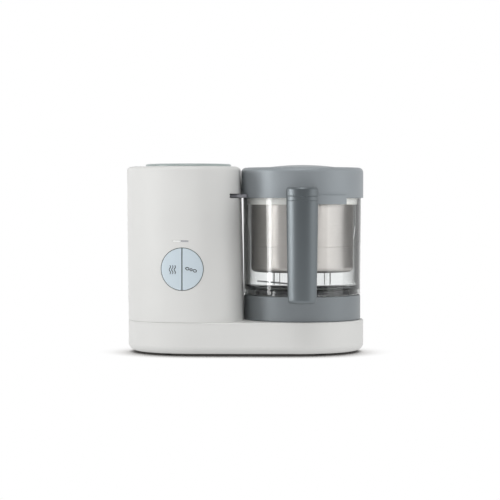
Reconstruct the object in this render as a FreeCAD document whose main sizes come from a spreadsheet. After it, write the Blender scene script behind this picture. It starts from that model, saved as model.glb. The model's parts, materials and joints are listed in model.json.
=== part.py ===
import FreeCAD, Part
import math
import os
import Sketcher
from types import SimpleNamespace
from FreeCAD import Rotation, Vector

# A countertop baby food maker: a tower with a boiler and a motor stands on a long base beside a glass
# bowl, in which a basket steams the food and a blade then blends it.
# Millimetres, +Z up, the floor at Z = 0, +X from the tower to the bowl, the user in front at -Y.

SIZES = (
    ("middle_y", 17.6, "mid plane of the machine, behind the middle of its whole depth"),
    # base
    ("base_length", 288.0, "length of the base"),
    ("base_width", 164.0, "depth of the base, and twice the radius of its ends"),
    ("base_height", 37.5, "floor to the top of the base shell"),
    ("base_wall", 3.2, "wall of the base shell"),
    ("base_edge", 8.5, "rounding of the lower edge of the base shell"),
    ("base_rim", 2.0, "flat rim of the base shell round its bottom cover"),
    ("ledge_width", 4.0, "ledge in the base shell above its bottom cover"),
    ("ledge_height", 3.0, "height of that ledge"),
    ("cover_thickness", 2.6, "bottom cover"),
    ("cover_gap", 0.25, "gap round the bottom cover"),
    ("vent_length", 34.0, "length of a vent slot in the bottom cover"),
    ("vent_width", 3.0, "width of a vent slot"),
    ("vent_pitch", 7.0, "distance from one vent slot to the next"),
    ("foot_height", 2.0, "rubber feet"),
    ("foot_radius", 6.0, "radius of a foot"),
    ("foot_span", 183.0, "distance between the feet along the base"),
    ("foot_depth", 114.0, "distance between the feet across the base"),
    ("deck_thickness", 2.0, "visible edge of the deck"),
    ("deck_edge", 1.3, "rounding of the deck's edge"),
    ("rebate_depth", 3.0, "depth of the deck inside the base shell"),
    ("rebate_gap", 0.2, "gap between the deck and the inside of the base shell"),
    # tower
    ("tower_height", 186.5, "deck to the top of the tower"),
    ("tower_draft", -0.5, "outward lean of the tower's walls, degrees"),
    ("tower_lean", 1.06, "lean of the whole tower away from the bowl, degrees"),
    ("tower_wall", 2.6, "wall of the tower"),
    ("tower_roof", 3.0, "roof of the tower"),
    ("tower_edge", 5.0, "rounding of the tower's top edge"),
    ("tower_corner", 57.0, "radius of the tower's corners beside the bowl"),
    ("saddle_depth", 6.7, "depth of the hollow in the tower's side for the lid"),
    ("saddle_round", 8.0, "rounding of the upright edges of that hollow"),
    ("lid_gap", 3.0, "gap between the lid and the tower"),
    # boiler
    ("tank_left", 19.5, "gap between the boiler's flange and the tower's left side"),
    ("tank_right", 7.6, "gap between the boiler's flange and the tower's side beside the bowl"),
    ("tank_wall", 1.2, "sheet of the boiler"),
    ("tank_depth", 47.0, "depth of the boiler under its flange"),
    ("tank_round", 8.0, "rounding of the boiler's bottom"),
    ("tank_flange", 5.0, "width of the boiler's flange"),
    ("gasket_thickness", 1.0, "gasket between the boiler and the tower's roof"),
    ("plate_margin", 8.5, "boiler beyond its heating plate"),
    ("plate_thickness", 4.0, "heating plate without its tube"),
    ("heater_inset", 10.5, "ring that the heating tube makes, inside the heating plate"),
    ("heater_tube", 4.2, "radius of the heating tube"),
    ("terminal_length", 12.0, "terminals of the heating tube"),
    ("thermostat_radius", 8.5, "thermostat"),
    ("thermostat_height", 9.0, "height of the thermostat"),
    ("steam_level", 168.0, "steam outlet above the deck"),
    ("pipe_radius", 6.0, "outside of the steam pipe"),
    ("pipe_wall", 2.0, "wall of the steam pipe"),
    ("pipe_entry", 1.5, "length of the steam pipe inside the boiler"),
    ("seal_width", 3.0, "ring of the steam outlet's seal"),
    ("seal_depth", 1.5, "recess of the seal in the tower's side"),
    ("seal_proud", 2.4, "seal beyond the tower's side"),
    ("tank_lid_lap", 6.0, "tank lid beyond the boiler"),
    ("tank_lid_rise", 3.4, "tank lid above the tower's top"),
    ("tank_lid_edge", 2.4, "rounding of the tank lid's edge"),
    ("tank_lid_dish", 24.0, "radius of the dish in the tank lid"),
    ("tank_lid_dip", 1.2, "depth of the dish in the tank lid"),
    ("tank_plug_depth", 8.0, "tank lid below the tower's top"),
    ("tank_plug_wall", 2.6, "wall of the tank lid's plug"),
    ("tank_seal_width", 1.6, "ring of the tank lid's seal"),
    ("tank_seal_height", 3.0, "height of the tank lid's seal"),
    ("loose_gap", 0.3, "gap between pieces that are lifted apart"),
    # buttons
    ("button_offset", 11.7, "button axis to the left of the centre of the base's end"),
    ("button_level", 63.8, "button axis above the deck"),
    ("button_radius", 25.0, "radius of the two half discs together"),
    ("button_split", 1.2, "gap between the two half discs"),
    ("button_gap", 0.7, "gap round the two half discs"),
    ("button_proud", 0.7, "buttons beyond the tower's front"),
    ("button_shell", 3.4, "thickness of a button"),
    ("button_travel", 2.0, "stroke of a button"),
    ("stem_radius", 3.6, "stem behind a button"),
    ("stem_offset", 11.0, "stem from the middle of the two buttons"),
    ("frame_wall", 2.2, "wall of the frame round the buttons"),
    ("board_forward", 56.0, "front of the control board before the mid plane"),
    ("board_width", 60.0, "control board"),
    ("board_height", 82.0, "height of the control board"),
    ("board_drop", 34.0, "control board below the button axis"),
    ("board_thickness", 1.6, "sheet of the control board"),
    ("switch_size", 6.0, "side of a push switch"),
    ("switch_height", 3.5, "height of a push switch"),
    ("plunger_radius", 1.7, "plunger of a push switch"),
    ("plunger_height", 1.5, "height of the plunger"),
    ("light_level", 33.3, "indicator lights above the button axis"),
    ("light_shift", 1.6, "middle of the two lights to the left of the button axis"),
    ("light_length", 8.9, "length of one indicator light"),
    ("light_height", 1.5, "height of an indicator light"),
    ("light_gap", 0.15, "gap round an indicator light"),
    ("light_proud", 0.12, "indicator lights beyond the tower's front"),
    # interlock
    ("lever_level", 149.1, "underside of the interlock lever above the deck"),
    ("lever_thickness", 3.5, "interlock lever"),
    ("lever_width", 6.0, "width of the interlock lever"),
    ("lever_reach", 25.0, "interlock lever from its pin to the middle of its tip"),
    ("lever_lean", 10.0, "turn of the interlock lever towards the bowl, degrees"),
    ("lever_pin", 2.0, "radius of the interlock lever's pin"),
    ("lever_boss", 5.0, "radius of the boss round that pin"),
    ("lever_back", 23.0, "pin to the left of the tower's side beside the bowl"),
    ("lever_forward", 40.5, "pin before the mid plane"),
    ("shelf_thickness", 2.4, "shelf under the interlock lever"),
    ("shelf_length", 30.0, "length of the shelf"),
    ("shelf_depth", 27.0, "depth of the shelf"),
    ("slot_margin", 0.9, "slot above and below the interlock lever"),
    ("slot_front", 15.5, "room in the slot before the interlock lever"),
    ("slot_back", 6.0, "room in the slot behind the interlock lever"),
    ("micro_length", 13.0, "interlock switch"),
    ("micro_depth", 6.0, "depth of the interlock switch"),
    ("micro_height", 8.0, "height of the interlock switch"),
    # drive
    ("motor_offset", 4.35, "motor axis to the right of the middle of the tower"),
    ("motor_radius", 33.0, "motor can"),
    ("motor_length", 58.0, "length of the motor can"),
    ("motor_edge", 3.0, "rounding of the motor can"),
    ("motor_boss", 10.0, "radius of the boss on the motor can"),
    ("motor_boss_height", 5.0, "height of that boss"),
    ("motor_vents", 8, "number of openings in the motor can"),
    ("motor_vent_width", 8.0, "width of an opening in the motor can"),
    ("motor_vent_height", 16.0, "height of an opening in the motor can"),
    ("motor_vent_depth", 4.0, "depth of an opening in the motor can"),
    ("bracket_radius", 43.0, "motor plate"),
    ("bracket_thickness", 3.0, "sheet of the motor plate"),
    ("shaft_radius", 4.0, "motor shaft, spindle and blade shaft"),
    ("shaft_fit", 0.05, "running gap round a shaft"),
    ("shaft_stub", 8.0, "motor shaft above the motor can's boss"),
    ("pulley_clearance", 3.9, "pulleys above the bottom cover"),
    ("pulley_flange", 1.5, "thickness of a pulley's flange"),
    ("pulley_land", 9.0, "height between a pulley's flanges"),
    ("pulley_lip", 2.6, "width of a pulley's flange"),
    ("pulley_passage", 1.0, "gap between the motor pulley and the holes that it passes"),
    ("motor_pulley_radius", 12.0, "motor pulley"),
    ("driven_pulley_radius", 24.0, "driven pulley"),
    ("pulley_rim", 4.0, "rim of the driven pulley"),
    ("pulley_web", 4.0, "web of the driven pulley"),
    ("pulley_hub", 6.4, "radius of a pulley's hub"),
    ("belt_gap", 0.1, "running gap between the belt and its pulleys"),
    ("belt_thickness", 2.0, "drive belt"),
    ("belt_width", 8.0, "width of the drive belt"),
    ("bearing_radius", 9.5, "outside of a spindle bearing"),
    ("bearing_height", 5.0, "height of a spindle bearing"),
    ("bearing_spacing", 5.0, "distance between the two bearings"),
    ("bearing_inset", 1.0, "upper bearing below the deck's top"),
    ("housing_lip", 2.5, "lip that holds a bearing"),
    ("housing_wall", 3.5, "wall of the bearing housing"),
    ("housing_spigot", 16.0, "radius of the bearing housing in the deck"),
    ("housing_flange", 22.0, "radius of the bearing housing's flange"),
    ("flange_thickness", 3.0, "thickness of that flange"),
    ("axial_gap", 0.1, "gap between a turning shoulder and its bearing"),
    ("spindle_shoulder", 6.0, "radius of the spindle's shoulder"),
    ("dog_gap", 0.8, "drive dog above the deck"),
    ("dog_height", 7.0, "height of the drive dog"),
    ("dog_core", 8.0, "radius of the drive dog's core"),
    ("dog_radius", 12.5, "radius of the drive dog's lugs"),
    ("dog_lug", 4.0, "width of a lug of the drive dog"),
    ("dog_lugs", 6, "number of lugs"),
    ("mesh_gap", 0.4, "gap between the drive dog and its coupling"),
    ("coupling_wall", 4.1, "coupling outside the drive dog's lugs"),
    ("coupling_roof", 1.9, "coupling above the drive dog"),
    ("coupling_lap", 5.2, "depth of the drive dog in its coupling"),
    # bowl base
    ("collar_margin", 3.6, "bowl collar to the right end of the base"),
    ("collar_radius", 71.3, "bowl collar"),
    ("collar_height", 30.2, "height of the bowl collar"),
    ("collar_wall", 4.0, "wall of the bowl collar's lower edge"),
    ("collar_edge", 1.5, "rounding of the bowl collar's edges"),
    ("collar_floor", 4.0, "floor of the bowl collar"),
    ("collar_recess", 10.5, "deck to the floor of the bowl collar"),
    ("thread_wall", 4.9, "wall of the bowl collar round the bowl's neck"),
    ("hub_radius", 15.0, "hub of the bowl collar"),
    ("hub_height", 8.0, "hub above the bowl collar's floor"),
    ("ring_rise", 21.0, "height of the ring on the bowl collar's floor, inside the bowl's neck"),
    ("ring_wall", 3.5, "wall of that ring"),
    ("ring_gap", 0.8, "gap between that ring and the bowl's neck"),
    ("seat_gap", 0.4, "gap between the bowl collar and its seat"),
    ("seat_width", 5.0, "ring of the bowl seat"),
    ("seat_height", 4.0, "height of the bowl seat"),
    ("seat_key_width", 12.0, "width of a key on the bowl seat"),
    ("seat_key_height", 3.0, "height of a key on the bowl seat"),
    ("seat_keys", 3, "number of keys"),
    ("ring_thickness", 2.0, "gasket under the bowl's neck"),
    ("bush_radius", 8.0, "blade bush"),
    ("bush_flange", 10.5, "radius of the blade bush's flange"),
    ("bush_lip", 1.5, "thickness of that flange"),
    ("blade_seal_height", 2.0, "seal above the blade bush"),
    # blade
    ("hub_gap", 0.5, "blade hub above its seal"),
    ("blade_hub_height", 8.0, "height of the blade hub"),
    ("blade_hub_foot", 12.0, "radius of the blade hub's foot"),
    ("blade_hub_top", 9.5, "radius of the blade hub's top"),
    ("blade_thickness", 1.6, "sheet of a blade"),
    ("blade_ring", 9.5, "radius of the ring of a blade"),
    ("blade_reach", 55.0, "length of a blade from its axis"),
    ("blade_sweep", 10.0, "offset of a blade's tip"),
    ("blade_root", 9.0, "half width of a blade's root"),
    ("blade_outer", 40.0, "radius of a blade's back"),
    ("blade_inner", 60.0, "radius of a blade's cutting edge"),
    ("blade_rise", 6.0, "upward lean of a blade, degrees"),
    ("blade_spacing", 4.6, "height between the two blades"),
    ("nut_radius", 7.5, "nut above the blades"),
    ("nut_height", 6.0, "height of that nut"),
    ("nut_round", 3.0, "rounding of that nut"),
    # bowl
    ("neck_gap", 0.3, "gap between the bowl's neck and the bowl collar"),
    ("neck_wall", 8.0, "wall of the bowl's neck"),
    ("neck_clear", 0.1, "gap under the bowl's neck"),
    ("glass_foot", 71.2, "outside of the bowl above its neck"),
    ("glass_mouth", 72.3, "outside of the bowl at its mouth"),
    ("glass_height", 118.0, "height of the bowl above its collar"),
    ("glass_wall", 4.5, "wall of the bowl"),
    ("glass_foot_edge", 2.0, "rounding of the bowl's outer edge above the collar"),
    ("glass_floor", 6.5, "thickness of the bowl's shoulder"),
    ("glass_floor_round", 7.0, "rounding inside the bowl's shoulder"),
    ("glass_lip", 0.8, "rounding of the bowl's mouth"),
    ("step_depth", 8.0, "step in the bowl's mouth below its edge"),
    ("step_width", 1.5, "width of that step"),
    ("rib_top", 86.0, "ribs in the bowl, from its foot to their points"),
    ("rib_slope", 18.0, "height of a rib's point"),
    ("rib_depth", 3.2, "ribs out of the bowl's wall"),
    ("rib_width", 8.0, "width of a rib"),
    ("ribs", 4, "number of ribs, over the half turn behind the handle"),
    ("boss_width", 18.0, "glass boss that holds the handle"),
    ("boss_forward", 6.0, "glass boss beyond the bowl's side"),
    ("boss_height", 20.0, "height of the glass boss"),
    ("boss_drop", 28.5, "foot of the glass boss below the grip's top"),
    # handle
    ("grip_front", 48.0, "front of the grip before the bowl's foot"),
    ("grip_depth", 20.0, "depth of the grip"),
    ("grip_width", 37.4, "width of the grip at its top"),
    ("grip_draft", 0.83, "inward lean of the grip towards its lower end, degrees"),
    ("grip_bulge", 22.0, "radius of the handle's front"),
    ("grip_side", 8.0, "radius between the handle's front and its sides"),
    ("grip_back", 6.0, "radius between the handle's back and its sides"),
    ("grip_end", 4.5, "rounding of the grip's lower end"),
    ("grip_foot", 6.5, "lower end of the grip below the bowl's foot"),
    ("grip_drop", 3.5, "top of the grip below the bowl's mouth"),
    ("arm_width", 26.0, "arm between the grip and the bowl"),
    ("arm_height", 30.0, "height of the arm"),
    ("arm_drop", 5.0, "arm under the lid's tab, below the grip's top"),
    ("arm_gap", 0.8, "gap between the arm and the bowl's side"),
    ("head_width", 38.2, "width of the handle's head"),
    ("band_height", 5.6, "band between the grip and the handle's cap"),
    ("cap_height", 11.6, "handle's cap"),
    ("cap_round", 5.0, "rounding of the handle's cap"),
    ("parting_round", 0.6, "rounding along the joints of the handle's head"),
    ("head_gap", 1.0, "gap between the handle's head and the lid's tab"),
    # basket
    ("basket_gap", 5.4, "gap between the steam basket and the bowl's wall"),
    ("basket_sheet", 0.9, "sheet of the steam basket"),
    ("basket_clearance", 10.1, "steam basket above the blade's nut"),
    ("basket_round", 6.0, "rounding of the steam basket's bottom"),
    ("basket_flange", 3.4, "flange of the steam basket"),
    ("rim_drop", 2.2, "rim under the steam basket's flange"),
    ("rim_height", 7.4, "height of the steam basket's rim"),
    ("hole_radius", 2.6, "holes in the steam basket's bottom"),
    ("hole_pitch", 14.0, "distance between the rings of holes"),
    ("hole_rings", 3, "number of rings of holes"),
    # lid
    ("lid_radius", 74.8, "lid"),
    ("lid_height", 36.9, "height of the lid's side"),
    ("lid_dome", 3.3, "rise of the dome in the middle of the lid"),
    ("dome_radius", 46.0, "radius of that dome's foot"),
    ("lid_edge", 6.0, "rounding of the lid's edge"),
    ("lid_wall", 3.0, "wall of the lid"),
    ("lid_seal_height", 3.0, "seal under the lid"),
    ("lid_seal_width", 7.8, "ring of the seal under the lid"),
    ("diffuser_thickness", 2.0, "steam diffuser in the lid"),
    ("diffuser_hole", 3.0, "radius of a hole in the steam diffuser"),
    ("diffuser_ring", 40.0, "radius of the ring of those holes"),
    ("diffuser_holes", 12, "number of those holes"),
    ("inlet_radius", 5.0, "steam inlet in the lid's side"),
    ("tab_gap", 0.6, "gap between the lid's tab and the bowl"),
    ("tab_thickness", 4.2, "lid's tab"),
    ("tab_drop", 7.6, "lid's tab below the lid's side"),
    ("tab_rise", 3.2, "lid's tab above the foot of the lid's side"),
    ("tab_start", 265.0, "start of the lid's tab round the lid, degrees from +X"),
    ("tab_sweep", 48.5, "length of the lid's tab, degrees"),
    # cord inlet
    ("gland_offset", 20.0, "cord inlet to the right of the centre of the base's left end"),
    ("gland_level", 20.0, "height of the cord inlet"),
    ("gland_radius", 6.0, "cord inlet in the base shell"),
    ("gland_bore", 3.6, "radius of the cord inlet's bore"),
    ("gland_flange", 9.0, "radius of the cord inlet's flange"),
    ("gland_lip", 2.0, "thickness of that flange"),
    ("gland_tail", 5.0, "cord inlet inside the base shell"),
)

doc = FreeCAD.newDocument("BabyFoodMaker")
sheet = doc.addObject("Spreadsheet::Sheet", "Sizes")
for row, (alias, amount, meaning) in enumerate(SIZES, start=1):
    sheet.set(f"A{row}", alias)
    sheet.set(f"B{row}", str(amount))
    sheet.set(f"C{row}", meaning)
    sheet.setAlias(f"B{row}", alias)
doc.recompute()


class Size:
    """A size as an expression of the sheet's cells, with the number that it comes to."""

    def __init__(self, text, number):
        self.text = text
        self.number = float(number)

    def __add__(self, other):
        other = as_size(other)
        return Size(f"({self.text} + {other.text})", self.number + other.number)

    def __sub__(self, other):
        other = as_size(other)
        return Size(f"({self.text} - {other.text})", self.number - other.number)

    def __mul__(self, other):
        other = as_size(other)
        return Size(f"({self.text} * {other.text})", self.number * other.number)

    def __truediv__(self, other):
        other = as_size(other)
        return Size(f"({self.text} / {other.text})", self.number / other.number)

    def __radd__(self, other):
        return as_size(other) + self

    def __rsub__(self, other):
        return as_size(other) - self

    def __rmul__(self, other):
        return as_size(other) * self

    def __neg__(self):
        return Size(f"(-1 * {self.text})", -self.number)


def as_size(item):
    """A plain number as a size."""
    if isinstance(item, Size):
        return item
    return Size(repr(float(item)), item)


def smaller(one, other):
    """The smaller of two sizes."""
    return Size(f"min({one.text}; {other.text})", min(one.number, other.number))


def root(area):
    """The square root of a product of two sizes."""
    return Size(f"sqrt({area.text})", math.sqrt(area.number))


S = SimpleNamespace(**{alias: Size(f"Sizes.{alias}", sheet.get(alias)) for alias, *_ in SIZES})

# Levels and places that several pieces share
base_foot = S.foot_height
cover_top = base_foot + S.cover_thickness
deck_under = S.base_height - S.rebate_depth
deck_top = S.base_height + S.deck_thickness
tower_top = deck_top + S.tower_height
roof_under = tower_top - S.tower_roof
end_x = (S.base_length - S.base_width) / -2
bowl_x = S.base_length / 2 - S.collar_margin - S.collar_radius
saddle_radius = S.lid_radius + S.lid_gap
tower_side = bowl_x - saddle_radius + S.saddle_depth
# the tower's inside reaches from its left end to the deepest line of its saddle
inside_left = end_x - S.base_width / 2 + S.tower_wall
inside_right = bowl_x - saddle_radius - S.tower_wall
flange_radius = (inside_right - inside_left - S.tank_left - S.tank_right) / 2
tank_radius = flange_radius - S.tank_flange
tank_x = inside_right - S.tank_right - flange_radius
motor_x = (inside_left + inside_right) / 2 + S.motor_offset
button_x = end_x - S.button_offset
button_z = deck_top + S.button_level
steam_z = deck_top + S.steam_level
collar_top = deck_top + S.collar_height
collar_floor_under = deck_top + S.collar_recess
collar_floor_top = collar_floor_under + S.collar_floor
glass_foot_z = collar_top + S.neck_gap
glass_top = glass_foot_z + S.glass_height
lid_foot = glass_top
lid_side_top = lid_foot + S.lid_height
pulley_foot = cover_top + S.pulley_clearance
pulley_top = pulley_foot + 2 * S.pulley_flange + S.pulley_land
spindle_top = deck_top + S.dog_gap + S.dog_height
coupling_foot = spindle_top - S.coupling_lap
coupling_roof_under = spindle_top + S.mesh_gap
hub_top = collar_floor_top + S.hub_height
seal_top = hub_top + S.bush_lip + S.blade_seal_height
blade_foot = seal_top + S.hub_gap
lower_blade_z = blade_foot + S.blade_hub_height
upper_blade_z = lower_blade_z + S.blade_thickness + S.blade_spacing
nut_foot = upper_blade_z + S.blade_thickness
nut_top = nut_foot + S.nut_height
grip_top = glass_top - S.grip_drop
band_top = grip_top + S.band_height
cap_top = band_top + S.cap_height
front_face = S.glass_foot + S.grip_front

pieces = []


def keep(item, label):
    """Give a finished piece its name and list it for export."""
    item.Label = label
    pieces.append(item)
    return item


def bind(item, field, amount):
    """Drive a property of an object by a size."""
    item.setExpression(field, as_size(amount).text)


def place(item, across=0, along=0, up=0):
    """Put an object at a point measured from the machine's mid plane on the floor."""
    bind(item, "Placement.Base.x", across)
    bind(item, "Placement.Base.y", S.middle_y + along)
    bind(item, "Placement.Base.z", up)
    return item


def turn(item, axis, angle):
    """Turn an object about an axis through its own zero point."""
    item.Placement.Rotation = Rotation(axis, as_size(angle).number)
    bind(item, "Placement.Rotation.Angle", angle)
    return item


def pin(drawing, shape, point, across, up):
    """Hold a point of a sketch at its distances from the sketch's zero point."""
    for kind, amount in (("DistanceX", as_size(across)), ("DistanceY", as_size(up))):
        number = drawing.addConstraint(Sketcher.Constraint(kind, -1, 1, shape, point, amount.number))
        bind(drawing, f"Constraints[{number}]", amount)


def hold_radius(drawing, shape, radius):
    """Hold the radius of a circle or an arc of a sketch."""
    number = drawing.addConstraint(Sketcher.Constraint("Radius", shape, radius.number))
    bind(drawing, f"Constraints[{number}]", radius)


def arc_between(start, end, radius):
    """The arc under half a turn from start to end: to the left for a plus radius, else to the right."""
    if radius < 0:
        return arc_between(end, start, -radius)
    chord = end - start
    half = chord.Length / 2
    left = Vector(-chord.y, chord.x, 0).normalize()
    centre = (start + end) * 0.5 + left * math.sqrt(max(radius * radius - half * half, 0))
    first = math.atan2(start.y - centre.y, start.x - centre.x)
    last = math.atan2(end.y - centre.y, end.x - centre.x)
    if last < first:
        last += 2 * math.pi
    return Part.ArcOfCircle(Part.Circle(centre, Vector(0, 0, 1), radius), first, last)


def loop(*corners):
    """A closed outline through its corners; one with a third value is reached by an arc of that radius."""

    def draw(drawing):
        first = drawing.GeometryCount
        ends = []
        for index, corner in enumerate(corners):
            start = Vector(*(as_size(item).number for item in corners[index - 1][:2]), 0)
            end = Vector(*(as_size(item).number for item in corner[:2]), 0)
            bend = as_size(corner[2]).number if len(corner) == 3 else 0
            side = arc_between(start, end, bend) if bend else Part.LineSegment(start, end)
            drawing.addGeometry(side, False)
            ends.append((2, 1) if bend < 0 else (1, 2))
        for index, corner in enumerate(corners):
            after = (index + 1) % len(corners)
            meeting = (first + index, ends[index][1], first + after, ends[after][0])
            drawing.addConstraint(Sketcher.Constraint("Coincident", *meeting))
            pin(drawing, first + index, ends[index][1], corner[0], corner[1])
            if len(corner) == 3:
                radius = as_size(corner[2])
                hold_radius(drawing, first + index, radius if radius.number > 0 else -radius)

    return draw


def circle(across, up, radius):
    """A full circle."""

    def draw(drawing):
        spot = Vector(as_size(across).number, as_size(up).number, 0)
        shape = drawing.addGeometry(Part.Circle(spot, Vector(0, 0, 1), as_size(radius).number), False)
        pin(drawing, shape, 3, across, up)
        hold_radius(drawing, shape, as_size(radius))

    return draw


def rectangle(left, low, right, high):
    """A rectangle between two opposite corners."""
    return loop((left, low), (right, low), (right, high), (left, high))


def stadium(inset, length=S.base_length, width=S.base_width):
    """The outline of the base, drawn in by an inset: two straight sides and two round ends."""
    radius = width / 2 - inset
    centre = length / 2 - width / 2
    return loop(
        (centre, -radius),
        (centre + radius, 0, radius),
        (centre, radius, radius),
        (-centre, radius),
        (-centre - radius, 0, radius),
        (-centre, -radius, radius),
    )


def slot(across, up, length, width):
    """A slot along the sketch's second axis with round ends."""
    radius = width / 2
    half = length / 2 - radius
    return loop(
        (across + radius, up + half),
        (across, up + half + radius, radius),
        (across - radius, up + half, radius),
        (across - radius, up - half),
        (across, up - half - radius, radius),
        (across + radius, up - half, radius),
    )


def new_body(name):
    """An empty body."""
    return doc.addObject("PartDesign::Body", name)


def sketch(body, plane, outlines, level=0):
    """Outlines on one of a body's own planes, moved along that plane's normal to a level."""
    drawing = body.newObject("Sketcher::SketchObject", body.Name + "Sketch")
    drawing.AttachmentSupport = [(next(f for f in body.Origin.OriginFeatures if f.Role == plane), "")]
    drawing.MapMode = "FlatFace"
    bind(drawing, "AttachmentOffset.Base.z", level)
    for draw in outlines:
        draw(drawing)
    return drawing


def pad(body, outlines, level, height, plane="XY_Plane", taper=None, both=False):
    """Add a prism that rises from a level, or spreads both ways from it."""
    item = body.newObject("PartDesign::Pad", body.Name + "Pad")
    item.Profile = sketch(body, plane, outlines, level)
    bind(item, "Length", height)
    if both:
        item.SideType = "Symmetric"
    if taper is not None:
        bind(item, "TaperAngle", taper)
    return item


def cut_feature(body, kind, drawing, field, amount):
    """Take a feature out of a body, and make sure that it has taken something."""
    doc.recompute()
    before = body.Shape.Volume
    item = body.newObject(kind, body.Name + "Cut")
    item.Profile = drawing
    bind(item, field, amount)
    doc.recompute()
    if item.Shape.Volume > before - 0.01:
        raise ValueError(f"{body.Name}: {item.Name} cuts nothing")
    return item


def pocket(body, outlines, level, depth, plane="XY_Plane"):
    """Cut from a level down to a depth."""
    return cut_feature(body, "PartDesign::Pocket", sketch(body, plane, outlines, level), "Length", depth)


def around(body, feature, count, sweep=360):
    """Repeat a feature round the upright axis of its body, over a full turn or a part of one."""
    item = body.newObject("PartDesign::PolarPattern", body.Name + "Pattern")
    item.Originals = [feature]
    item.Axis = (next(f for f in body.Origin.OriginFeatures if f.Role == "Z_Axis"), [""])
    item.Angle = sweep
    bind(item, "Occurrences", count)
    body.Tip = item
    return item


def revolve(name, *outlines):
    """A body of revolution about its upright axis; outlines are drawn as radius and height."""
    body = new_body(name)
    drawing = sketch(body, "XZ_Plane", outlines)
    item = body.newObject("PartDesign::Revolution", name + "Turned")
    item.Profile = drawing
    item.ReferenceAxis = (drawing, ["V_Axis"])
    item.Angle = 360
    return body


def edges_of(shape, wanted):
    """The numbers of the edges that a test picks."""
    return [number for number, edge in enumerate(shape.Edges, start=1) if wanted(edge)]


def level_at(height):
    """A test for edges that lie wholly at one height."""
    return lambda edge: max(abs(vertex.Z - height.number) for vertex in edge.Vertexes) < 1e-4


def round_edges(body, wanted, radius):
    """Round the edges of a body that a test picks."""
    doc.recompute()
    base = body.Tip
    item = body.newObject("PartDesign::Fillet", body.Name + "Fillet")
    item.Base = (base, [f"Edge{number}" for number in edges_of(base.Shape, wanted)])
    bind(item, "Radius", radius)
    return item


def round_solid(name, base, wanted, radius):
    """Round the edges of any solid that a test picks."""
    doc.recompute()
    item = doc.addObject("Part::Fillet", name)
    item.Base = base
    item.Edges = [(number, radius.number, radius.number) for number in edges_of(base.Shape, wanted)]
    return item


def block(name, across, along, up, length, depth, height):
    """A box from its lowest left front corner."""
    item = doc.addObject("Part::Box", name)
    bind(item, "Length", length)
    bind(item, "Width", depth)
    bind(item, "Height", height)
    return place(item, across, along, up)


def rod(name, radius, length, across, along, up, axis=None, angle=90):
    """A cylinder that rises from a point, or is laid along another axis."""
    item = doc.addObject("Part::Cylinder", name)
    bind(item, "Radius", radius)
    bind(item, "Height", length)
    if axis is not None:
        item.Placement.Rotation = Rotation(axis, angle)
    return place(item, across, along, up)


# a quarter turn about these axes lays an upright cylinder towards the back, or towards the bowl
BACKWARD = Vector(-1, 0, 0)
RIGHTWARD = Vector(0, 1, 0)


def cut(name, base, *tools):
    """Take tools away from a base."""
    item = doc.addObject("Part::Cut", name)
    item.Base = base
    item.Tool = tools[0] if len(tools) == 1 else fuse(name + "Tools", *tools)
    return item


def fuse(name, *shapes):
    """Join solids."""
    item = doc.addObject("Part::MultiFuse", name)
    item.Shapes = list(shapes)
    return item


def common(name, *shapes):
    """What solids share."""
    item = doc.addObject("Part::MultiCommon", name)
    item.Shapes = list(shapes)
    return item


def group(name, *shapes):
    """Several like solids in one piece."""
    item = doc.addObject("Part::Compound", name)
    item.Links = list(shapes)
    return item


def base_pieces():
    """The base shell, its cover with vents, the rubber feet, the deck and the cord inlet."""
    shell = new_body("BaseShell")
    pad(shell, [stadium(0)], base_foot, S.base_height - base_foot)
    round_edges(shell, level_at(base_foot), S.base_edge)
    inside = S.base_height - cover_top - S.ledge_height
    cover_line = S.base_edge + S.base_rim
    pocket(shell, [stadium(S.base_wall)], S.base_height, inside)
    pocket(shell, [stadium(cover_line + S.ledge_width)], S.base_height, S.base_height - base_foot)
    pocket(shell, [stadium(cover_line)], cover_top, S.cover_thickness)
    place(shell)
    gland_x = end_x + S.gland_offset
    wall_y = S.base_width / 2 - S.base_wall
    spot = (gland_x, wall_y - S.base_wall, S.gland_level)
    opening = rod("GlandOpening", S.gland_radius, S.base_wall * 3, *spot, BACKWARD)
    keep(cut("BaseShellOpened", shell, opening), "base_shell")

    cover = new_body("BottomCover")
    pad(cover, [stadium(cover_line + S.cover_gap)], base_foot, S.cover_thickness)
    vents = [slot(motor_x + step * S.vent_pitch, 0, S.vent_length, S.vent_width) for step in range(-3, 4)]
    pocket(cover, vents, cover_top, S.cover_thickness)
    keep(place(cover), "bottom_cover")

    feet = []
    for number, (side, way) in enumerate(((-1, -1), (1, -1), (1, 1), (-1, 1)), start=1):
        spot = (side * S.foot_span / 2, way * S.foot_depth / 2, 0)
        feet.append(rod(f"Foot{number}", S.foot_radius, S.foot_height, *spot))
    keep(group("Feet", *feet), "feet")

    deck = new_body("Deck")
    pad(deck, [stadium(0)], S.base_height, S.deck_thickness)
    pad(deck, [stadium(S.base_wall + S.rebate_gap)], deck_under, S.rebate_depth)
    round_edges(deck, level_at(deck_top), S.deck_edge)
    passage = S.motor_pulley_radius + S.pulley_lip + S.pulley_passage
    holes = [circle(motor_x, 0, passage), circle(bowl_x, 0, S.housing_spigot)]
    pocket(deck, holes, deck_top, deck_top - deck_under)
    keep(place(deck), "deck_plate")

    # the inlet is turned about the base's depth: its flange lies on the outside of the straight back
    profile = loop(
        (S.gland_bore, -S.base_wall - S.gland_tail),
        (S.gland_radius, -S.base_wall - S.gland_tail),
        (S.gland_radius, 0),
        (S.gland_flange, 0),
        (S.gland_flange, S.gland_lip),
        (S.gland_bore, S.gland_lip),
    )
    gland = revolve("CordInlet", profile)
    gland.Placement.Rotation = Rotation(BACKWARD, 90)
    keep(place(gland, gland_x, S.base_width / 2, S.gland_level), "cord_inlet")


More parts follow.
